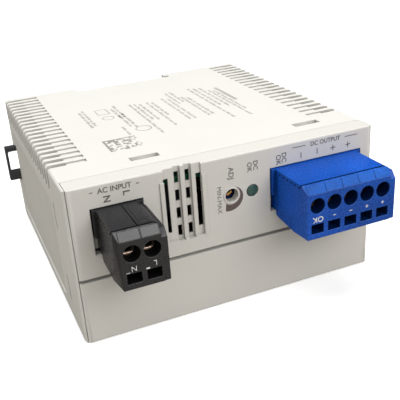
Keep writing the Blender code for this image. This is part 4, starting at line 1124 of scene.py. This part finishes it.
LABEL_ROWS = (
    (20.9, 44.5, 63.5), (19.5, 44.5, 62.0), (31.4, 49.0, 63.5), (30.0, 49.0, 60.0), (31.6, 37.5, 53.5),
    (30.2, 39.0, 52.0), (27.6, 32.0, 40.0), (36.6, 26.0, 61.5), (38.2, 42.0, 61.0), (39.8, 40.5, 60.0),
    (42.4, 32.5, 60.4), (44.0, 44.0, 59.5), (48.2, 34.5, 61.9), (50.0, 36.0, 60.0), (51.6, 53.0, 67.0),
    (53.4, 52.6, 67.7), (54.8, 34.5, 59.8), (56.4, 36.5, 58.0), (60.4, 28.3, 68.0), (62.2, 44.0, 67.0),
    (64.2, 40.0, 66.5), (66.0, 28.7, 61.9), (67.4, 34.0, 60.5),
)
WORD_LENGTH = (1.6, 4.8)
WORD_GAP = 0.6
LETTER_WIDTH = (0.35, 0.7)
LETTER_HEIGHTS = (0.32, 0.45)
LETTER_GAP = 0.22
DOT_CORNER = (18.4, 20.4)
DOT_BLOCK = 9.9
DOTS = 14
DOT_SHARE = 0.45


def rating_print():
    """Columns of blank words, plain rings and a generic dot block, in place of a rating label."""
    rng = random.Random(7)
    marks = []
    for x, low, high in LABEL_ROWS:
        y = high
        while y > low + 1.0:
            word_end = max(low, y - rng.uniform(*WORD_LENGTH))
            while y > word_end:
                letter = rng.uniform(*LETTER_WIDTH)
                tall = rng.choice(LETTER_HEIGHTS)
                marks.append(top_bar((x - 0.45, x - 0.45 + 2 * tall), (y - letter, y)))
                y -= letter + LETTER_GAP
            y -= WORD_GAP
    marks.append(top_bar((68.5, 69.7), (46.3, 63.8)))
    marks.append(ring_mark((26.4, 51.2), 2.0, 0.35))
    frame_mark = top_bar((24.3, 28.3), (55.5, 61.5))
    marks.append(cut(frame_mark, box("hole", (24.65, 27.95), (55.85, 61.15), (44, 45))))
    marks.append(ring_mark((32.8, 35.2), 2.5, 0.4))
    print_piece("rating_print", marks, PALE_INK, "chassis", "grey_shell")
    dots = []
    step = DOT_BLOCK / DOTS
    for i in range(DOTS):
        for j in range(DOTS):
            edge = i == 0 or j == DOTS - 1
            if edge or rng.random() < DOT_SHARE:
                x, y = DOT_CORNER[0] + i * step, DOT_CORNER[1] + j * step
                dots.append(top_bar((x, x + step * 0.92), (y, y + step * 0.92)))
    print_piece("dot_print", dots, CODE_INK, "chassis", "grey_shell")


# ---- stage ----

WORLD_STRENGTH = (0.78, 0.12)
FLOOR_BOUNCE = (0.31, 0.28, 0.24)
FLOOR_GLOW = 0.35
FLOOR_HALF = 3.0
FLOOR_DROP = 0.00005
CAMERA_LENS = 59.784
CAMERA_AT = (-22.887, -147.638, 106.860)
# Right, up and back, from a fit to the housing's corners and seams
CAMERA_AXES = (
    (0.917118, -0.393474, -0.063824),
    (0.217946, 0.360909, 0.906777),
    (-0.333759, -0.845531, 0.416752),
)
LIGHTS = (
    ("overhead", (0.02, 0.16, 0.9), (0, 0, 0), (1.0, 1.0), 9.5, False),
    ("front_box", (0.27, -0.66, 0.44), (0.01, -0.09, 0.02), (0.6, 0.36), 2.2, True),
    ("lens_light", (-0.15, -0.75, 0.36), (0.0, -0.1, 0.0), (0.14, 0.14), 0.15, True),
    ("left_fill", (-0.9, 0.0, 0.35), (-0.04, -0.04, 0.0), (0.6, 0.4), 1.1, False),
)


def floor_paint():
    """Pale paint over a light table: it glows softly for the camera and throws little light back."""
    paint = surface("floor_paint", (0.93, 0.93, 0.925), 0.8, grain=2.0, bump=0.02, wear=0.0)
    tree = paint.node_tree
    shader = tree.nodes["Principled BSDF"]
    socket = shader.inputs["Base Color"]
    shown = socket.links[0].from_socket
    seen = add(tree, "ShaderNodeLightPath").outputs["Is Camera Ray"]
    tree.links.new(blend_colour(tree, seen, (*FLOOR_BOUNCE, 1.0), shown), socket)
    glow = add(tree, "ShaderNodeMath", {0: seen, 1: FLOOR_GLOW}, operation="MULTIPLY").outputs[0]
    shader.inputs["Emission Color"].default_value = (1.0, 1.0, 1.0, 1.0)
    tree.links.new(glow, shader.inputs["Emission Strength"])
    return paint


def build_stage():
    """A plain pale floor, soft studio light and the camera."""
    bm = bmesh.new()
    side = (-FLOOR_HALF, FLOOR_HALF)
    bm.faces.new([bm.verts.new((x, y, 0)) for x, y in rect(side, side)])
    mesh = bpy.data.meshes.new("floor")
    bm.to_mesh(mesh)
    bm.free()
    floor = bpy.data.objects.new("floor", mesh)
    floor.location.z = ORIGIN.z - FLOOR_DROP
    link(floor)
    mesh.materials.append(floor_paint())

    world = bpy.data.worlds.new("studio")
    bpy.context.scene.world = world
    world.use_nodes = True
    tree = world.node_tree
    direction = add(tree, "ShaderNodeTexCoord").outputs["Generated"]
    toward_back = add(tree, "ShaderNodeSeparateXYZ", {"Vector": direction}).outputs["Y"]
    ambient = span(tree, toward_back, -1.0, 1.0, *WORLD_STRENGTH)
    seen = add(tree, "ShaderNodeLightPath").outputs["Is Camera Ray"]
    strength = add(tree, "ShaderNodeMix", {0: seen, 2: ambient, 3: 1.0}, data_type="FLOAT").outputs[0]
    tree.links.new(strength, tree.nodes["Background"].inputs["Strength"])
    tree.nodes["Background"].inputs["Color"].default_value = (1.0, 1.0, 1.0, 1.0)
    for name, location, target, size, power, mirrored in LIGHTS:
        light = bpy.data.lights.new(name, "AREA")
        light.shape = "RECTANGLE"
        light.size, light.size_y = size
        light.energy = power
        obj = bpy.data.objects.new(name, light)
        obj.visible_glossy = mirrored
        obj.location = location
        obj.rotation_euler = (Vector(target) - Vector(location)).to_track_quat("-Z", "Y").to_euler()
        link(obj)

    camera = bpy.data.cameras.new("camera")
    camera.sensor_width = 36.0
    camera.lens = CAMERA_LENS
    camera.clip_start = 0.01
    view = bpy.data.objects.new("camera", camera)
    turn = Matrix(CAMERA_AXES).transposed().to_4x4()
    view.matrix_world = Matrix.Translation(place(*CAMERA_AT)) @ turn
    link(view)
    bpy.context.scene.camera = view
    bpy.context.scene.view_settings.view_transform = "Standard"


# ---- the whole scene ----

build_shell()
build_cover()
build_latch()
build_spring()
build_plug("input", (BLACK, BLACK_HOLE_SHADE, BLACK_PLATE_SHEEN, COPPER), "plug_black")
build_plug("output", (BLUE, BLUE_HOLE_SHADE, BLUE_PLATE_SHEEN, COPPER_DIM), "plug_blue")
build_light()
build_rotor()
front_print()
wedge_print()
plug_print()
rating_print()
dress_cad_nodes()
build_stage()
